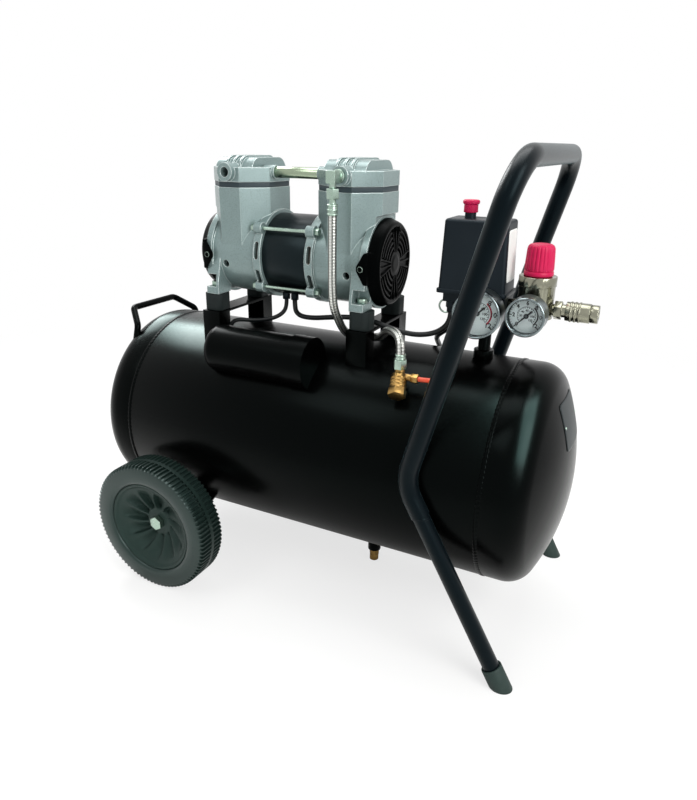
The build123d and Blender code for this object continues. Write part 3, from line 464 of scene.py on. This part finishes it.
# Tube and leads: each route's points are where it bends
unloader = {
    "name": "unloaderTube", "node": "unloader_tube", "diameter": 6.0, "length": 0.145,
    "route": (
        (167.05, -99, 363), (180, -99, 363), (194, -91, 364), (201, -74, 368), (201, -53, 377), (198, -33, 391),
        (194, -19, 408), (193, -14, 424), (193, -14, 438),
    ),
}
motorLead = {
    "name": "motorLead", "node": "motor_lead", "diameter": 7.0, "length": 0.27,
    "route": (
        (-58, -18, 422), (-58, -18, 414), (-54, -22, 405), (-42, -27, 401), (-20, -30, 402), (8, -31, 407),
        (38, -30.5, 411), (70, -30, 410), (100, -27, 401), (128, -23, 396), (152, -19, 399), (168, -16, 408),
        (176, -15, 421), (176, -15, 432),
    ),
}
capacitorLead = {
    "name": "capacitorLead", "node": "capacitor_lead", "diameter": 6.0, "length": 0.256,
    "route": (
        (-72, -18, 422), (-72, -18, 412), (-75, -22, 402), (-84, -30, 395), (-100, -37, 391), (-120, -42, 389),
        (-136, -45, 389), (-147.5, -46.5, 386), (-152, -48.5, 377.5), (-147.5, -50, 369), (-136, -51, 366.4),
        (-114, -52, 366.5), (-86, -51, 367), (-60, -46.5, 370), (-46, -43, 373), (-34, -41, 375.5),
        (-26, -43, 376.3), (-23, -49.5, 374.6), (-24, -56, 372),
    ),
}
mains = {
    "diameter": 7.5, "coilX": 20.0, "coilY": 140.0, "coilRadius": 52.0, "step": 4.2, "steps": 4, "layer": 8.1,
    "floorZ": 3.8, "perHalfTurn": 8,
    "drop": (
        (176, 15, 432), (176, 15, 420), (171, 19, 405), (153, 27, 392), (137, 48, 378), (130, 79, 360),
        (129, 111, 334), (124, 139, 299), (120, 160, 256), (116, 171, 208), (113, 176, 158), (109, 181, 110),
        (102, 186, 66), (88, 190, 30), (67, 192, 10), (47, 192, 3.8),
    ),
}
boot = {"length": 30, "wide": 5.6, "narrow": 4.1, "notch": 0.35, "around": 32}


def mainsRoute(spec):
    # Over the back of the tank to the floor, then half turns of a two-centre spiral: in, up a layer, and out
    cx, cy, radius, step, steps = (spec[key] for key in ("coilX", "coilY", "coilRadius", "step", "steps"))
    floor, layer, count = spec["floorZ"], spec["layer"], spec["perHalfTurn"]
    route = list(spec["drop"])
    inward = [radius - step * k for k in range(steps)]
    radii = inward + [radius - steps * step] + inward[:0:-1]
    y, heading = cy + radius, -1
    swell = 1 / math.cos(math.pi / (2 * count))  # the spline cuts inside its control points
    for index, r in enumerate(radii):
        middle = y + heading * r
        low = floor if index <= steps else floor + layer
        rise = layer if index == steps else 0
        for share in (np.arange(count) + 0.5) / count:
            sweep = math.pi * share
            route.append((
                cx + heading * r * swell * math.sin(sweep), middle - heading * r * swell * math.cos(sweep),
                low + rise * smoothStep(0.0, 1.0, share),
            ))
        y += heading * 2 * r
        heading = -heading
    route.append((cx + heading * spec["diameter"], y, floor + layer))
    return route


def makeLead(spec, material, slot, **bearing):
    lead = makeCord(spec["name"], spec["route"], spec["diameter"], material, [spec["node"]])


def makeMainsCord():
    route = mainsRoute(mains)
    cord = makeCord("mainsCord", route, mains["diameter"], cableSheath, ["mains_cord", "mains_coil"])
    start = traced(route)
    start = start[runAlong(start) < boot["length"]]
    notches = boot["notch"] * (np.arange(len(start)) % 6 > 3)
    taper = np.linspace(boot["wide"], boot["narrow"], len(start)) - notches
    makeSurface("strainRelief", cappedTube(start, taper, boot["around"]), blackAbs, sharp=50)


makeLead(unloader, nylonTube, "tube_red", stiffness="stiff", lay="taut")
makeLead(motorLead, cableSheath, "cable_black", lay="hanging")
makeLead(capacitorLead, cableSheath, "cable_black", lay="hanging")
makeMainsCord()
print("cords laid")

# Tank: shell and dished heads in one skin, with a weld bead over each seam
tank = {
    "radius": 150.0, "axisZ": 222.0, "seams": (-275.3, 267.3), "skirt": 24.0, "crown": 300.0, "knuckle": 36.0,
    "groove": 0.5, "grooveHalf": 1.2, "around": 240,
}
bead = {"width": 3.0, "lift": -0.3, "height": 1.1, "ripple": 0.12, "sway": 0.5, "lag": 1.0, "ripples": 150}


def crownRun(spec):  # how far the crown's centre lies behind the knuckle's, and how far the knuckle's is out
    reach = spec["radius"] - spec["knuckle"]
    return math.sqrt((spec["crown"] - spec["knuckle"]) ** 2 - reach ** 2), reach


def headOutline(spec):  # knuckle arc, then crown arc, from the skirt to the pole, as (along, radius)
    run, reach = crownRun(spec)
    meet = math.atan2(reach, run)
    knuckle = np.linspace(math.pi / 2, meet, 28)
    crown = np.linspace(meet, 0, 40)[1:]
    return np.concatenate([
        np.c_[spec["knuckle"] * np.cos(knuckle), reach + spec["knuckle"] * np.sin(knuckle)],
        np.c_[spec["crown"] * np.cos(crown) - run, spec["crown"] * np.sin(crown)],
    ])


def makeTank(spec):
    left, right = spec["seams"]
    radius, half = spec["radius"], spec["grooveHalf"]
    low = radius - spec["groove"]
    dish = headOutline(spec)
    rightHead = np.c_[dish[:, 0] + right + spec["skirt"], dish[:, 1]]
    leftHead = np.c_[left - spec["skirt"] - dish[:, 0], dish[:, 1]][::-1]
    shell = [
        (left - half, radius), (left, low), (left + half, radius), (0, radius),
        (right - half, radius), (right, low), (right + half, radius),
    ]
    profile = np.concatenate([leftHead, shell, rightHead])
    grid = lathe(profile, (0, 0, spec["axisZ"]), (1, 0, 0), spec["around"])
    skin = makeSurface("tankSkin", grid, tankEnamel, sharp=60)
    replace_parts(skin, "tank_shell", "tank_heads")
    angle = ringAngles(bead["ripples"] * 5)
    section = ringAngles(10).T
    wave = 1 + bead["ripple"] * np.sin(bead["ripples"] * angle)
    sway = bead["sway"] * np.sin(bead["ripples"] * angle + bead["lag"])
    out = radius + bead["lift"] + bead["height"] * wave * np.sin(section)
    for place, seam in zip(("Left", "Right"), spec["seams"]):
        along = seam + bead["width"] * np.cos(section) + sway
        ring = pointsAt(along, out * np.cos(angle), spec["axisZ"] + out * np.sin(angle))
        makeSurface("seamWeld" + place, ring, tankEnamel, loopRows=True, sharp=80)


makeTank(tank)
print("tank made")

# Wheels: ribbed solid tyre round a dished hub with swept pockets
wheel = {"x": -202.3, "z": 100.0, "middle": 183.4, "ribs": 90, "samples": 8, "groove": 3.6, "grooveFloor": 95.4}
hub = {"pockets": 11, "depth": 8.5, "sweep": 0.5, "samples": 20}


def wheelPoint(side, width, radius, angle):
    x = wheel["x"] + radius * np.cos(angle)
    return pointsAt(x, side * (wheel["middle"] + width), wheel["z"] + radius * np.sin(angle))


def makeTyre(side, place):
    # The last column says how deep the tread groove is cut there; both rows of ribs share one ring wave
    lip = ((20.6, 70.02, 0), (22.2, 70.4, 0), (23.9, 72.4, 0))
    half = np.array((
        (25.0, 76.0, 0), (24.9, 84.0, 0), (24.4, 91.5, 0), (23.6, 95.2, 0), (23.0, 98.2, 1), (21.4, 99.7, 1),
        (18.0, 100.0, 1), (10.0, 100.0, 1), (3.2, 100.0, 1), (2.9, 100.0, 0), (1.0, 100.0, 0),
    ))
    rear = ((-24.0, 71.0, 0), (-21.0, 70.15, 0))
    outline = np.concatenate([lip, half, half[::-1] * (-1, 1, -1), rear])
    angle = ringAngles(wheel["ribs"] * wheel["samples"])
    width, radius, row = outline[:, :1], outline[:, 1:2], outline[:, 2:]
    wave = np.cos(wheel["ribs"] * angle + np.where(row < 0, math.pi, 0))
    cut = smoothStep(-0.55, 0.05, wave) * wheel["groove"] * np.abs(row)
    cut = np.minimum(cut, np.maximum(radius - wheel["grooveFloor"], 0))
    grid = wheelPoint(side, width, radius - cut, angle)
    tyre = makeSurface("tyre" + place.title(), grid, tyreCompound, "wheel_" + place, True, 38)
    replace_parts(tyre, "wheel_tyre_" + place)


def makeHub(side, place):
    # The face is a shallow cone; between boss and rim a sawtooth round the axle sinks it into swept pockets
    angle = ringAngles(hub["pockets"] * hub["samples"])
    boss, rim = (6.05, 18.0, 19.2), (63.5, 65.2, 66.0, 68.6, 69.6, 69.95)
    radius = np.concatenate([boss, [20.0], np.linspace(21, 62, 36), rim])[:, None]
    cone = np.interp(radius, (*boss, 22.0, 62.0, *rim), (0.6, 0.6, 0.3, 0.4, 17.2, 18.0, 20.2, 20.9, 21.6, 21.2, 20.4))
    phase = (hub["pockets"] * angle / turn + hub["sweep"] * (radius - 20) / 40) % 1.0
    saw = smoothStep(0.0, 0.75, phase) * (1 - smoothStep(0.86, 0.94, phase))
    window = smoothStep(20, 27, radius) * (1 - smoothStep(42, 60, radius))
    face = wheelPoint(side, cone - hub["depth"] * saw * window, radius, angle)
    back = np.array((
        (-20.6, 69.95), (-21.4, 69.2), (-21.4, 63.0), (-9.4, 61.0), (-9.4, 20.5), (-24.6, 19.0), (-25.0, 18.4),
        (-25.0, 6.05),
    ))
    grid = np.concatenate([face, wheelPoint(side, back[:, :1], back[:, 1:], angle)])
    piece = makeSurface("hub" + place.title(), grid, wheelPlastic, "wheel_" + place, True, 32)
    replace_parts(piece, "wheel_hub_" + place)


for side, place in ((-1, "front"), (1, "back")):
    makeTyre(side, place)
    makeHub(side, place)
print("wheels made")

# Fan covers: ringed face with radial ribs, and a tab at the front and back that laps over the crankcase
pump = {"x": -52.0, "z": 484.0}
cover = {
    "rim": 126.0, "face": 142.0, "radius": 59.0, "lining": 52.2, "wall": 3, "tab": 12.0, "tabReach": 65.3,
    "tabHalf": 0.34, "rings": 7.0, "groove": 2.6, "dome": 0.8, "around": 288,
}


def makeFanCover(side, place):
    angle = ringAngles(cover["around"])
    # distance round the edge from the nearest tab, which stands at the front and at the back
    fromTab = np.abs((angle + math.pi / 2) % math.pi - math.pi / 2)
    tab = 1 - smoothStep(cover["tabHalf"] - 0.05, cover["tabHalf"] + 0.03, fromTab)
    flat = 1 / np.cos(np.minimum(fromTab, 0.5))
    outer = cover["radius"] + (cover["tabReach"] * flat - cover["radius"]) * tab
    lining = cover["lining"] + ((cover["tabReach"] - cover["wall"]) * flat - cover["lining"]) * tab
    rimU = cover["rim"] - np.clip(cover["tab"] * 1.15 * (1 - fromTab / cover["tabHalf"]), 0, cover["tab"])
    # the face sinks between ring ridges, and between straight ribs in the four sectors
    radius = np.linspace(51, 0, 60)[:, None]
    ring = 0.5 - 0.5 * np.cos(turn * (radius - 16) / cover["rings"])
    quarter = np.abs((angle + math.pi / 4) % (math.pi / 2) - math.pi / 4)
    sector = 1 - smoothStep(0.26, 0.34, quarter)
    across = radius * np.sin(np.minimum(quarter, np.abs(quarter - 0.24)))
    ribs = 1 - smoothStep(0.7, 1.7, across)
    band = smoothStep(15, 17, radius) * (1 - smoothStep(47, 49, radius))
    sunk = band * cover["groove"] * (sector * (1 - ribs) + (1 - sector) * smoothStep(0.25, 0.75, ring))
    faceU = cover["face"] - 0.5 + cover["dome"] * (1 - smoothStep(8, 14, radius)) - sunk
    outline = (
        (rimU, outer - 0.3), (rimU + 0.3, outer), (128.2, outer), (129.4, outer - 0.5), (131.0, 57.6), (136.0, 56.0),
        (139.6, 54.4), (141.4, 52.4), (faceU, radius), (137.5, 0.0), (137.5, 50.0), (131.0, cover["lining"]),
        (126.3, lining), (rimU, lining),
    )
    us, rs = (np.concatenate([np.broadcast_arrays(*row, angle)[k] for row in outline]) for k in (0, 1))
    grid = pointsAt(pump["x"] + side * us, rs * np.cos(angle), pump["z"] + rs * np.sin(angle))
    return makeSurface("fanCover" + place, grid, fanAbs, loopRows=True, sharp=42)


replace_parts(makeFanCover(1, "Right"), "fan_covers")
makeFanCover(-1, "Left")
screwCap = softened(((65.2, 0.0), (65.2, 4.3), (67.4, 4.1), (68.2, 2.6), (68.2, 0.0)), 0.6)
for side, end in ((1, "R"), (-1, "L")):
    for face, place in ((-1, "Front"), (1, "Back")):
        grid = lathe(screwCap, (pump["x"] + side * 121, 0, pump["z"]), (0, face, 0), 28)
        makeSurface("tabScrew" + end + place, grid, fanAbs)
print("fan covers made")

# Knobs: fluted regulator knob, flared pull cap on a black stem
regulator = {"x": 279.0, "bottom": 486.4, "flutes": 22, "depth": 0.8}
pull = {"x": 188.0}


def makeRegulatorKnob(spec):
    # height, radius there, and how much of the flute is cut; the last two rings line the bore
    rings = np.array((
        (0.0, 6.1, 0), (0.0, 16.9, 0), (0.4, 17.6, 0), (1.2, 17.9, 0), (5.0, 17.8, 0), (5.5, 17.4, 0), (5.8, 16.6, 0),
        (6.4, 16.6, 0), (6.8, 17.3, 0.2), (7.6, 17.7, 1), (18.0, 17.3, 1), (29.0, 16.7, 1), (32.4, 16.4, 1),
        (34.8, 15.6, 0.8), (36.4, 14.4, 0.3), (37.3, 12.8, 0), (37.6, 11.4, 0), (37.2, 9.0, 0), (37.1, 4.0, 0),
        (37.1, 0.0, 0), (19.6, 0.0, 0), (19.6, 6.1, 0),
    ))
    angle = ringAngles(spec["flutes"] * 10)
    wave = smoothStep(0.1, 0.9, np.cos(spec["flutes"] * angle))
    radius = rings[:, 1:2] - spec["depth"] * rings[:, 2:] * wave
    grid = pointsAt(spec["x"] + radius * np.cos(angle), radius * np.sin(angle), spec["bottom"] + rings[:, :1])
    knob = makeSurface("regulatorKnob", grid, crimsonAbs, "regulator_knob", True, 50)
    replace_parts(knob, "regulator_knob")


def makePullKnob(spec):
    cap = softened((
        (556.0, 0.0), (556.0, 8.9), (565.6, 8.7), (566.6, 10.4), (569.6, 10.5), (571.0, 9.4), (571.0, 0.0),
    ), 0.9)
    stem = softened(((524.0, 0.0), (524.0, 7.0), (556.0, 7.0), (556.0, 0.0)), 0.8)
    foot, up = (spec["x"], 0, 0), (0, 0, 1)
    piece = makeSurface("pullCap", lathe(cap, foot, up, 72), crimsonAbs, "switch_knob", sharp=50)
    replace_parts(piece, "switch_knob")
    makeSurface("pullStem", lathe(stem, foot, up, 48), blackAbs, "switch_knob", sharp=50)


makeRegulatorKnob(regulator)
makePullKnob(pull)
print("knobs made")

# Gauges: rolled bezel, printed scale with plain numbers, and the band that marks high pressure
gauges = (
    {"name": "Tank", "x": 220.0, "z": 441.0, "radius": 30.0, "top": 12, "numbers": 2, "band": redInk},
    {"name": "Outlet", "x": 279.0, "z": 445.0, "radius": 23.5, "top": 12, "numbers": 2, "band": dialInk},
)
# Distances on the dial are shares of its radius
dial = {
    "front": -45.06, "start": 225.0, "sweep": 270.0, "thick": 0.1,
    "ticks": ((7, 0.74, 0.88, 0.65), (31, 0.79, 0.88, 0.35), (19, 0.39, 0.47, 0.35)),
    "rings": ((0.86, 0.885, 90), (0.46, 0.482, 70)),
    "numbers": ((1, 0.65, 0.28), (10, 0.29, 0.15)),
    "band": (0.53, 0.6, 40), "bandFrom": 0.64,
}


def dialPlace(spec, share, distance):  # point on the dial at a share of the scale, clockwise from lower left
    angle = np.radians(dial["start"] - dial["sweep"] * np.asarray(share))
    return np.stack([spec["x"] + distance * np.cos(angle), spec["z"] + distance * np.sin(angle)], -1)


def upright(flat):  # points of the dial's plane, at its printed face
    return pointsAt(flat[..., 0], dial["front"], flat[..., 1])


def dialBand(spec, low, inner, outer, steps):  # a strip of the ring between two radii, up to the scale's end
    share = np.linspace(low, 1.0, steps)
    strip = np.stack([dialPlace(spec, share, edge * spec["radius"]) for edge in (inner, outer)])
    return upright(strip).reshape(-1, 3), gridFaces(2, steps, False, False)


def dialTicks(spec, count, inner, outer, half):  # short bars square to the scale
    share = np.linspace(0, 1, count)
    direction = dialPlace({"x": 0, "z": 0}, share, 1.0)
    across = np.stack([-direction[:, 1], direction[:, 0]], -1) * half
    centre = np.array((spec["x"], spec["z"]))
    ends = ((inner, -1), (outer, -1), (outer, 1), (inner, 1))
    corners = [centre + direction * edge * spec["radius"] + across * sign for edge, sign in ends]
    return upright(np.stack(corners, 1)).reshape(-1, 3), np.arange(count * 4).reshape(-1, 4)


def dialNumber(spec, value, share, distance, size):  # a plain number, made a mesh and set upright on the dial
    data = bpy.data.curves.new("number", "FONT")
    data.body = str(value)
    data.size = size * spec["radius"] * mm
    data.offset = 0.03 * data.size  # a heavier stroke, which holds at the picture's scale
    data.align_x = "CENTER"
    data.align_y = "CENTER"
    points, faces = takeMesh(addObject("number", data))
    return upright(points[:, :2] + dialPlace(spec, share, distance * spec["radius"])), faces


def joined(parts):  # several point and face lists as one
    points, faces, start = [], [], 0
    for some, own in parts:
        points.append(some)
        faces += [[index + start for index in face] for face in np.asarray(own, dtype=object).tolist()]
        start += len(some)
    return np.concatenate(points), faces


def printPiece(name, parts, material):
    points, faces = joined(parts)
    piece = makePiece(name, points, np.array(faces, dtype=object), material, tidy=False)
    film = piece.modifiers.new("film", "SOLIDIFY")
    film.thickness, film.offset = dial["thick"] * mm, -1.0


def makeGauge(spec):
    r, name = spec["radius"], spec["name"]
    parts = [dialTicks(spec, *row) for row in dial["ticks"]]
    parts += [dialBand(spec, 0.0, *row) for row in dial["rings"]]
    for times, distance, size in dial["numbers"]:
        for n in range(0, spec["top"] + 1, spec["numbers"]):
            parts.append(dialNumber(spec, n * times, n / spec["top"], distance, size))
    printPiece("dialPrint" + name, parts, dialInk)
    printPiece("dialBand" + name, [dialBand(spec, dial["bandFrom"], *dial["band"])], spec["band"])
    middle, outward = (spec["x"], 0, spec["z"]), (0, 1, 0)
    lip = softened((
        (-52.0, r - 2.7), (-56.2, r - 2.7), (-56.9, r - 1.6), (-56.0, r + 0.15), (-50.0, r + 0.3), (-49.4, r - 0.2),
        (-52.0, r - 2.7),
    ), 0.7)
    makeSurface("gaugeBezel" + name, lathe(lip, middle, outward, 96), chromePlate, sharp=45)
    pin = softened(((-46.9, 0.0), (-46.9, 1.9), (-48.2, 1.5), (-48.4, 0.0)), 0.3)
    grid = lathe(pin, middle, outward, 32)
    makeSurface("needleCap" + name, grid, gaugeSteel, name.lower() + "_needle")


for spec in gauges:
    makeGauge(spec)
print("gauges made")

# Bare plates: the film on the switch cover's end and the riveted plate on the right head
switchLabel = {"x": (245.6, 243.6), "z": (476.0, 539.0), "y": (-21.0, 18.0), "thick": 0.35}
headPlate = {"y": (-36.0, 40.0), "z": (276.0, 336.0), "thick": 0.8, "rivets": (-0.86, 0.86)}
sheet = {"rings": 14, "around": 160, "squareness": 0.16}


def roundedSheet(name, place, material, thick):
    # a sheet whose corners are rounded by squaring a disc: place maps (-1..1, -1..1) to the object
    ringShare = np.linspace(0, 1, sheet["rings"])[:, None]
    angle = ringAngles(sheet["around"])
    across, upward = (
        np.sign(wave) * np.abs(wave) ** sheet["squareness"] * ringShare for wave in (np.cos(angle), np.sin(angle))
    )
    piece = makeSurface(name, place(across, upward), material)
    film = piece.modifiers.new("thickness", "SOLIDIFY")
    film.thickness, film.offset = thick * mm, 0.0


def within(limits, share):  # share -1 is the first limit and 1 the second
    return np.mean(limits) + share * (limits[1] - limits[0]) / 2


def onSwitch(a, b):
    return pointsAt(within(switchLabel["x"], b), within(switchLabel["y"], a), within(switchLabel["z"], b))


def onHead(a, b):
    # on the crown of the right head, lifted off it by half the plate
    y, z = within(headPlate["y"], a), within(headPlate["z"], b)
    centre = tank["seams"][1] + tank["skirt"] - crownRun(tank)[0]
    away = y ** 2 + (z - tank["axisZ"]) ** 2
    return pointsAt(centre + np.sqrt((tank["crown"] + headPlate["thick"] / 2) ** 2 - away), y, z)


roundedSheet("switchLabel", onSwitch, labelFilm, switchLabel["thick"])
roundedSheet("headPlate", onHead, plateAlloy, headPlate["thick"])
rivet = softened(((-0.4, 0.0), (-0.4, 2.4), (0.9, 1.6), (1.2, 0.0)), 0.5)
for index, share in enumerate(headPlate["rivets"]):
    makeSurface(f"plateRivet{index}", lathe(rivet, onHead(share, 0.0), (1, 0, 0), 24), zincPlate)
print("plates made")

# Handle frame: one bent tube that takes a thinner leg in at each knee, with a weld at its mouth
handle = {
    "side": 163.0, "foot": (321.7, 0.0), "bend": (180.0, 253.3), "top": (281.0, 625.0), "kneeRadius": 60.0,
    "topRadius": 50.0, "reach": 46.0, "tube": 24.0, "leg": 21.4, "wall": 2.5, "capDepth": 12.0, "legInside": 20.0,
    "around": 56,
}


def bentPath(corners, radii, steps=24):
    # straight runs joined by arcs: at each corner, the circle of its radius that touches both runs
    corners = np.asarray(corners, float)
    path = [corners[:1]]
    for before, here, after, radius in zip(corners, corners[1:], corners[2:], radii):
        inward, outward = unit(before - here), unit(after - here)
        half = math.acos(inward @ outward) / 2
        middle, across = unit(inward + outward), unit(outward - inward)
        sweep = np.linspace(-1, 1, steps)[:, None] * (math.pi / 2 - half)
        centre = here + middle * radius / math.sin(half)
        path.append(centre + radius * (across * np.sin(sweep) - middle * np.cos(sweep)))
    return np.concatenate([*path, corners[-1:]])


def makeHandle(spec):
    bends, tops, feet = (
        [np.array((spec[key][0], face * spec["side"], spec[key][1])) for face in (-1, 1)]
        for key in ("bend", "top", "foot")
    )
    down = unit(feet[0] - bends[0])
    mouths = [corner + down * spec["reach"] for corner in bends]
    corners = (mouths[0], bends[0], *tops, bends[1], mouths[1])
    path = bentPath(corners, (spec["kneeRadius"], spec["topRadius"], spec["topRadius"], spec["kneeRadius"]))
    skin = tubeGrid(path, spec["tube"] / 2, spec["around"])
    bore = tubeGrid(path, spec["tube"] / 2 - spec["wall"], spec["around"])
    grid = np.concatenate([skin, bore[::-1]])
    tube = makeSurface("handleTube", grid, powderCoat, loopRows=True, sharp=50)
    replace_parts(tube, "handle_frame")
    weld = softened(((-2.0, 10.5), (-2.0, 12.4), (0.6, 12.6), (2.6, 10.9), (2.6, 10.5), (-2.0, 10.5)), 0.8)
    for foot, mouth, place in zip(feet, mouths, ("Front", "Back")):
        leg = np.stack([foot - down * spec["capDepth"], mouth - down * spec["legInside"]])
        grid = cappedTube(leg, spec["leg"] / 2, spec["around"])
        makeSurface("leg" + place, grid, powderCoat, sharp=50)
        makeSurface("kneeWeld" + place, lathe(weld, mouth, down, 64), powderCoat, sharp=60)


makeHandle(handle)
print("handle made")

# CAD pieces that keep their shape: under each finish, the pieces and their edge radius in millimetres
kept = {
    tankEnamel: {"tank_fittings": 0.6, "wheel_brackets": 0.6, "motor_brackets": 0.6, "rear_handle": 0,
                 "capacitor_cover": 0},
    capRubber: {"foot_caps": 1.0},
    mouldedRubber: {"rubber_mounts": 1.0},
    zincPlate: {"axle_bolts": 0.6, "tie_rods": 0.3, "pump_screws": 0.4, "hose_fittings": 0.5, "safety_valve_ring": 0},
    castLacquer: {"crankcase_left": 0, "crankcase_right": 0, "cylinder_head_left": 0, "cylinder_head_right": 0},
    statorSteel: {"stator_core": 0.4},
    copperWire: {"stator_windings": 0.6},
    turnedSteel: {"rotor_core": 0.4, "motor_shaft": 0.4, "shaft_bearings": 0.2},
    turnedAlloy: {"eccentrics": 0.4, "connecting_rods": 0.4, "cylinder_sleeves": 0.3},
    slateGasket: {"valve_plates": 0.4},
    yellowZinc: {"transfer_tube": 0.3},
    turnedBrass: {"check_valve": 0.5, "safety_valve_body": 0.3, "drain_valve_body": 0.3, "drain_valve_knob": 0.2},
    whiteCan: {"capacitor": 0.5},
    blackAbs: {"switch_base": 0.8, "switch_cover": 0.5, "cable_glands": 0.4, "cooling_fans": 0.3, "mains_plug": 0.8},
    gaugeSteel: {"gauge_cases": 0.3},
    dialCard: {"gauge_faces": 0},
    lensAcrylic: {"gauge_lenses": 0},
    dialInk: {"gauge_needle_tank": 0, "gauge_needle_outlet": 0},
    nickelPlate: {"regulator_body": 0.6, "coupler_body": 0.5, "coupler_sleeve": 0.4},
}
edging = {"merge": 1e-5, "flatAngle": 0.4, "edgeAngle": 34, "segments": 2}


def dress(name, material, edge):
    node = nodes[name]
    if not node.material_slots:
        node.data.materials.append(material)
    for place in node.material_slots:
        place.material = material
    if not edge:
        return
    node.data.polygons.foreach_set("use_smooth", np.ones(len(node.data.polygons), bool))
    node.modifiers.new("join", "WELD").merge_threshold = edging["merge"]
    flats = node.modifiers.new("flats", "DECIMATE")
    flats.decimate_type = "DISSOLVE"
    flats.angle_limit = math.radians(edging["flatAngle"])
    bevel = node.modifiers.new("edges", "BEVEL")
    bevel.width = edge * mm
    bevel.segments = edging["segments"]
    bevel.limit_method = "ANGLE"
    bevel.angle_limit = math.radians(edging["edgeAngle"])
    bevel.use_clamp_overlap = False
    bevel.harden_normals = True


for material, edges in kept.items():
    for name, edge in edges.items():
        dress(name, material, edge)
print("CAD pieces dressed:", sum(len(edges) for edges in kept.values()))

# Pale floor and soft studio light; the floor turns white over the "fade" distances, in metres
studio = {
    "floor": "#f4f4f2", "floorGlow": 0.72, "mirrorGlow": 0.1, "skyDiffuse": 0.32, "floorSize": 8.0, "fade": (0.55, 1.7),
}
white = (1, 1, 1, 1)


def backgroundRays(tree):  # 1 for the rays that see the background itself or mirror it
    path = addNode(tree, "LightPath").outputs
    seen = path["Is Camera Ray"]
    for kind in ("Is Glossy Ray", "Is Transmission Ray"):
        seen = addNode(tree, "Math", {0: seen, 1: path[kind]}, operation="MAXIMUM")
    return seen


def makeStudio(spec):
    half = spec["floorSize"] / 2
    mesh = bpy.data.meshes.new("studioFloor")
    mesh.from_pydata([(-half, -half, 0), (half, -half, 0), (half, half, 0), (-half, half, 0)], [], [(0, 1, 2, 3)])
    addObject("studioFloor", mesh)
    material = bpy.data.materials.new("paleFloor")
    material.use_nodes = True
    tree = material.node_tree
    paint = addNode(tree, "BsdfDiffuse", {"Color": linear(spec["floor"])})
    glow = addNode(tree, "Emission", {"Color": white, "Strength": 1.0})
    where = addNode(tree, "TexCoord")
    away = addNode(tree, "VectorMath", {0: where.outputs["Object"]}, operation="LENGTH")
    near, far = spec["fade"]
    seen, mirrored = (
        addNode(tree, "MapRange", {
            "Value": away.outputs["Value"], "From Min": near, "From Max": far, "To Min": spec[key], "To Max": 1.0,
        }, interpolation_type="SMOOTHSTEP")
        for key in ("floorGlow", "mirrorGlow")
    )
    path = addNode(tree, "LightPath")
    fade = addNode(tree, "Mix", {0: path.outputs["Is Camera Ray"], 2: mirrored, 3: seen})
    share = addNode(tree, "Math", {0: backgroundRays(tree), 1: fade}, operation="MULTIPLY")
    blend = addNode(tree, "MixShader", {0: share, 1: paint, 2: glow})
    tree.links.new(blend.outputs[0], tree.nodes["Material Output"].inputs["Surface"])
    mesh.materials.append(material)
    world = bpy.data.worlds.new("studioSky")
    bpy.context.scene.world = world
    world.use_nodes = True
    tree = world.node_tree
    level = addNode(tree, "MapRange", {"Value": backgroundRays(tree), "To Min": spec["skyDiffuse"], "To Max": 1.0})
    sky = tree.nodes["Background"]
    tree.links.new(level.outputs["Result"], sky.inputs["Strength"])
    sky.inputs["Color"].default_value = white


# Places and sizes in metres; "along" is the way a lamp's long side runs
rightSide = {"aim": (0.3, -0.1, 0.3), "along": (-0.26, 1.1, 1.18)}
leftSide = {"aim": (-0.2, 0, 0.35), "along": (-0.05, -0.75, 0.42)}
softboxes = (
    {"name": "keySoftbox", "place": (-0.7, -1.6, 2.4), "size": (1.0, 1.0), "watts": 12,
     "aim": (0, 0, 0.4), "along": (0, 0, 1)},
    {"name": "topSoftbox", "place": (-0.1, 0.35, 2.3), "size": (1.8, 1.4), "watts": 34,
     "aim": (-0.05, 0, 0.3), "along": (0, 0, 1)},
    {"name": "rightStrip", "place": (1.65, -0.9, 1.35), "size": (0.8, 1.7), "watts": 40, **rightSide},
    {"name": "rimSoftbox", "place": (-1.6, 0.75, 1.7), "size": (0.8, 1.2), "watts": 32, **leftSide},
)
# Two cool cards that only the tank's enamel mirrors
cards = (
    {"name": "headCard", "place": (1.3, -0.55, 1.75), "size": (1.3, 2.4), "watts": 300, **rightSide},
    {"name": "shoulderCard", "place": (-1.7, 0.85, 1.75), "size": (1.1, 1.3), "watts": 66, **leftSide},
)
cardTint = "#d2f2ee"


def makeSoftbox(spec):
    data = bpy.data.lights.new(spec["name"], "AREA")
    data.energy = spec["watts"]
    data.shape = "RECTANGLE"
    data.size, data.size_y = spec["size"]
    place = np.array(spec["place"])
    back = unit(place - spec["aim"])
    right = unit(np.cross(spec["along"], back))
    axes = np.eye(4)
    axes[:3, :3] = np.c_[right, np.cross(back, right), back]
    axes[:3, 3] = place
    lamp = addObject(spec["name"], data)
    lamp.matrix_world = Matrix(axes.tolist())
    return lamp


def makeCard(spec):
    lamp = makeSoftbox(spec)
    lamp.data.color = linear(cardTint)[:3]
    lit = bpy.data.collections.new(spec["name"] + "Lit")
    lit.objects.link(bpy.data.objects["tankSkin"])
    lamp.light_linking.receiver_collection = lit
    lamp.visible_diffuse = False
    lamp.visible_camera = False


makeStudio(studio)
for spec in softboxes:
    makeSoftbox(spec)
for spec in cards:
    makeCard(spec)
bpy.context.scene.view_settings.view_transform = "Standard"
print("studio lit")
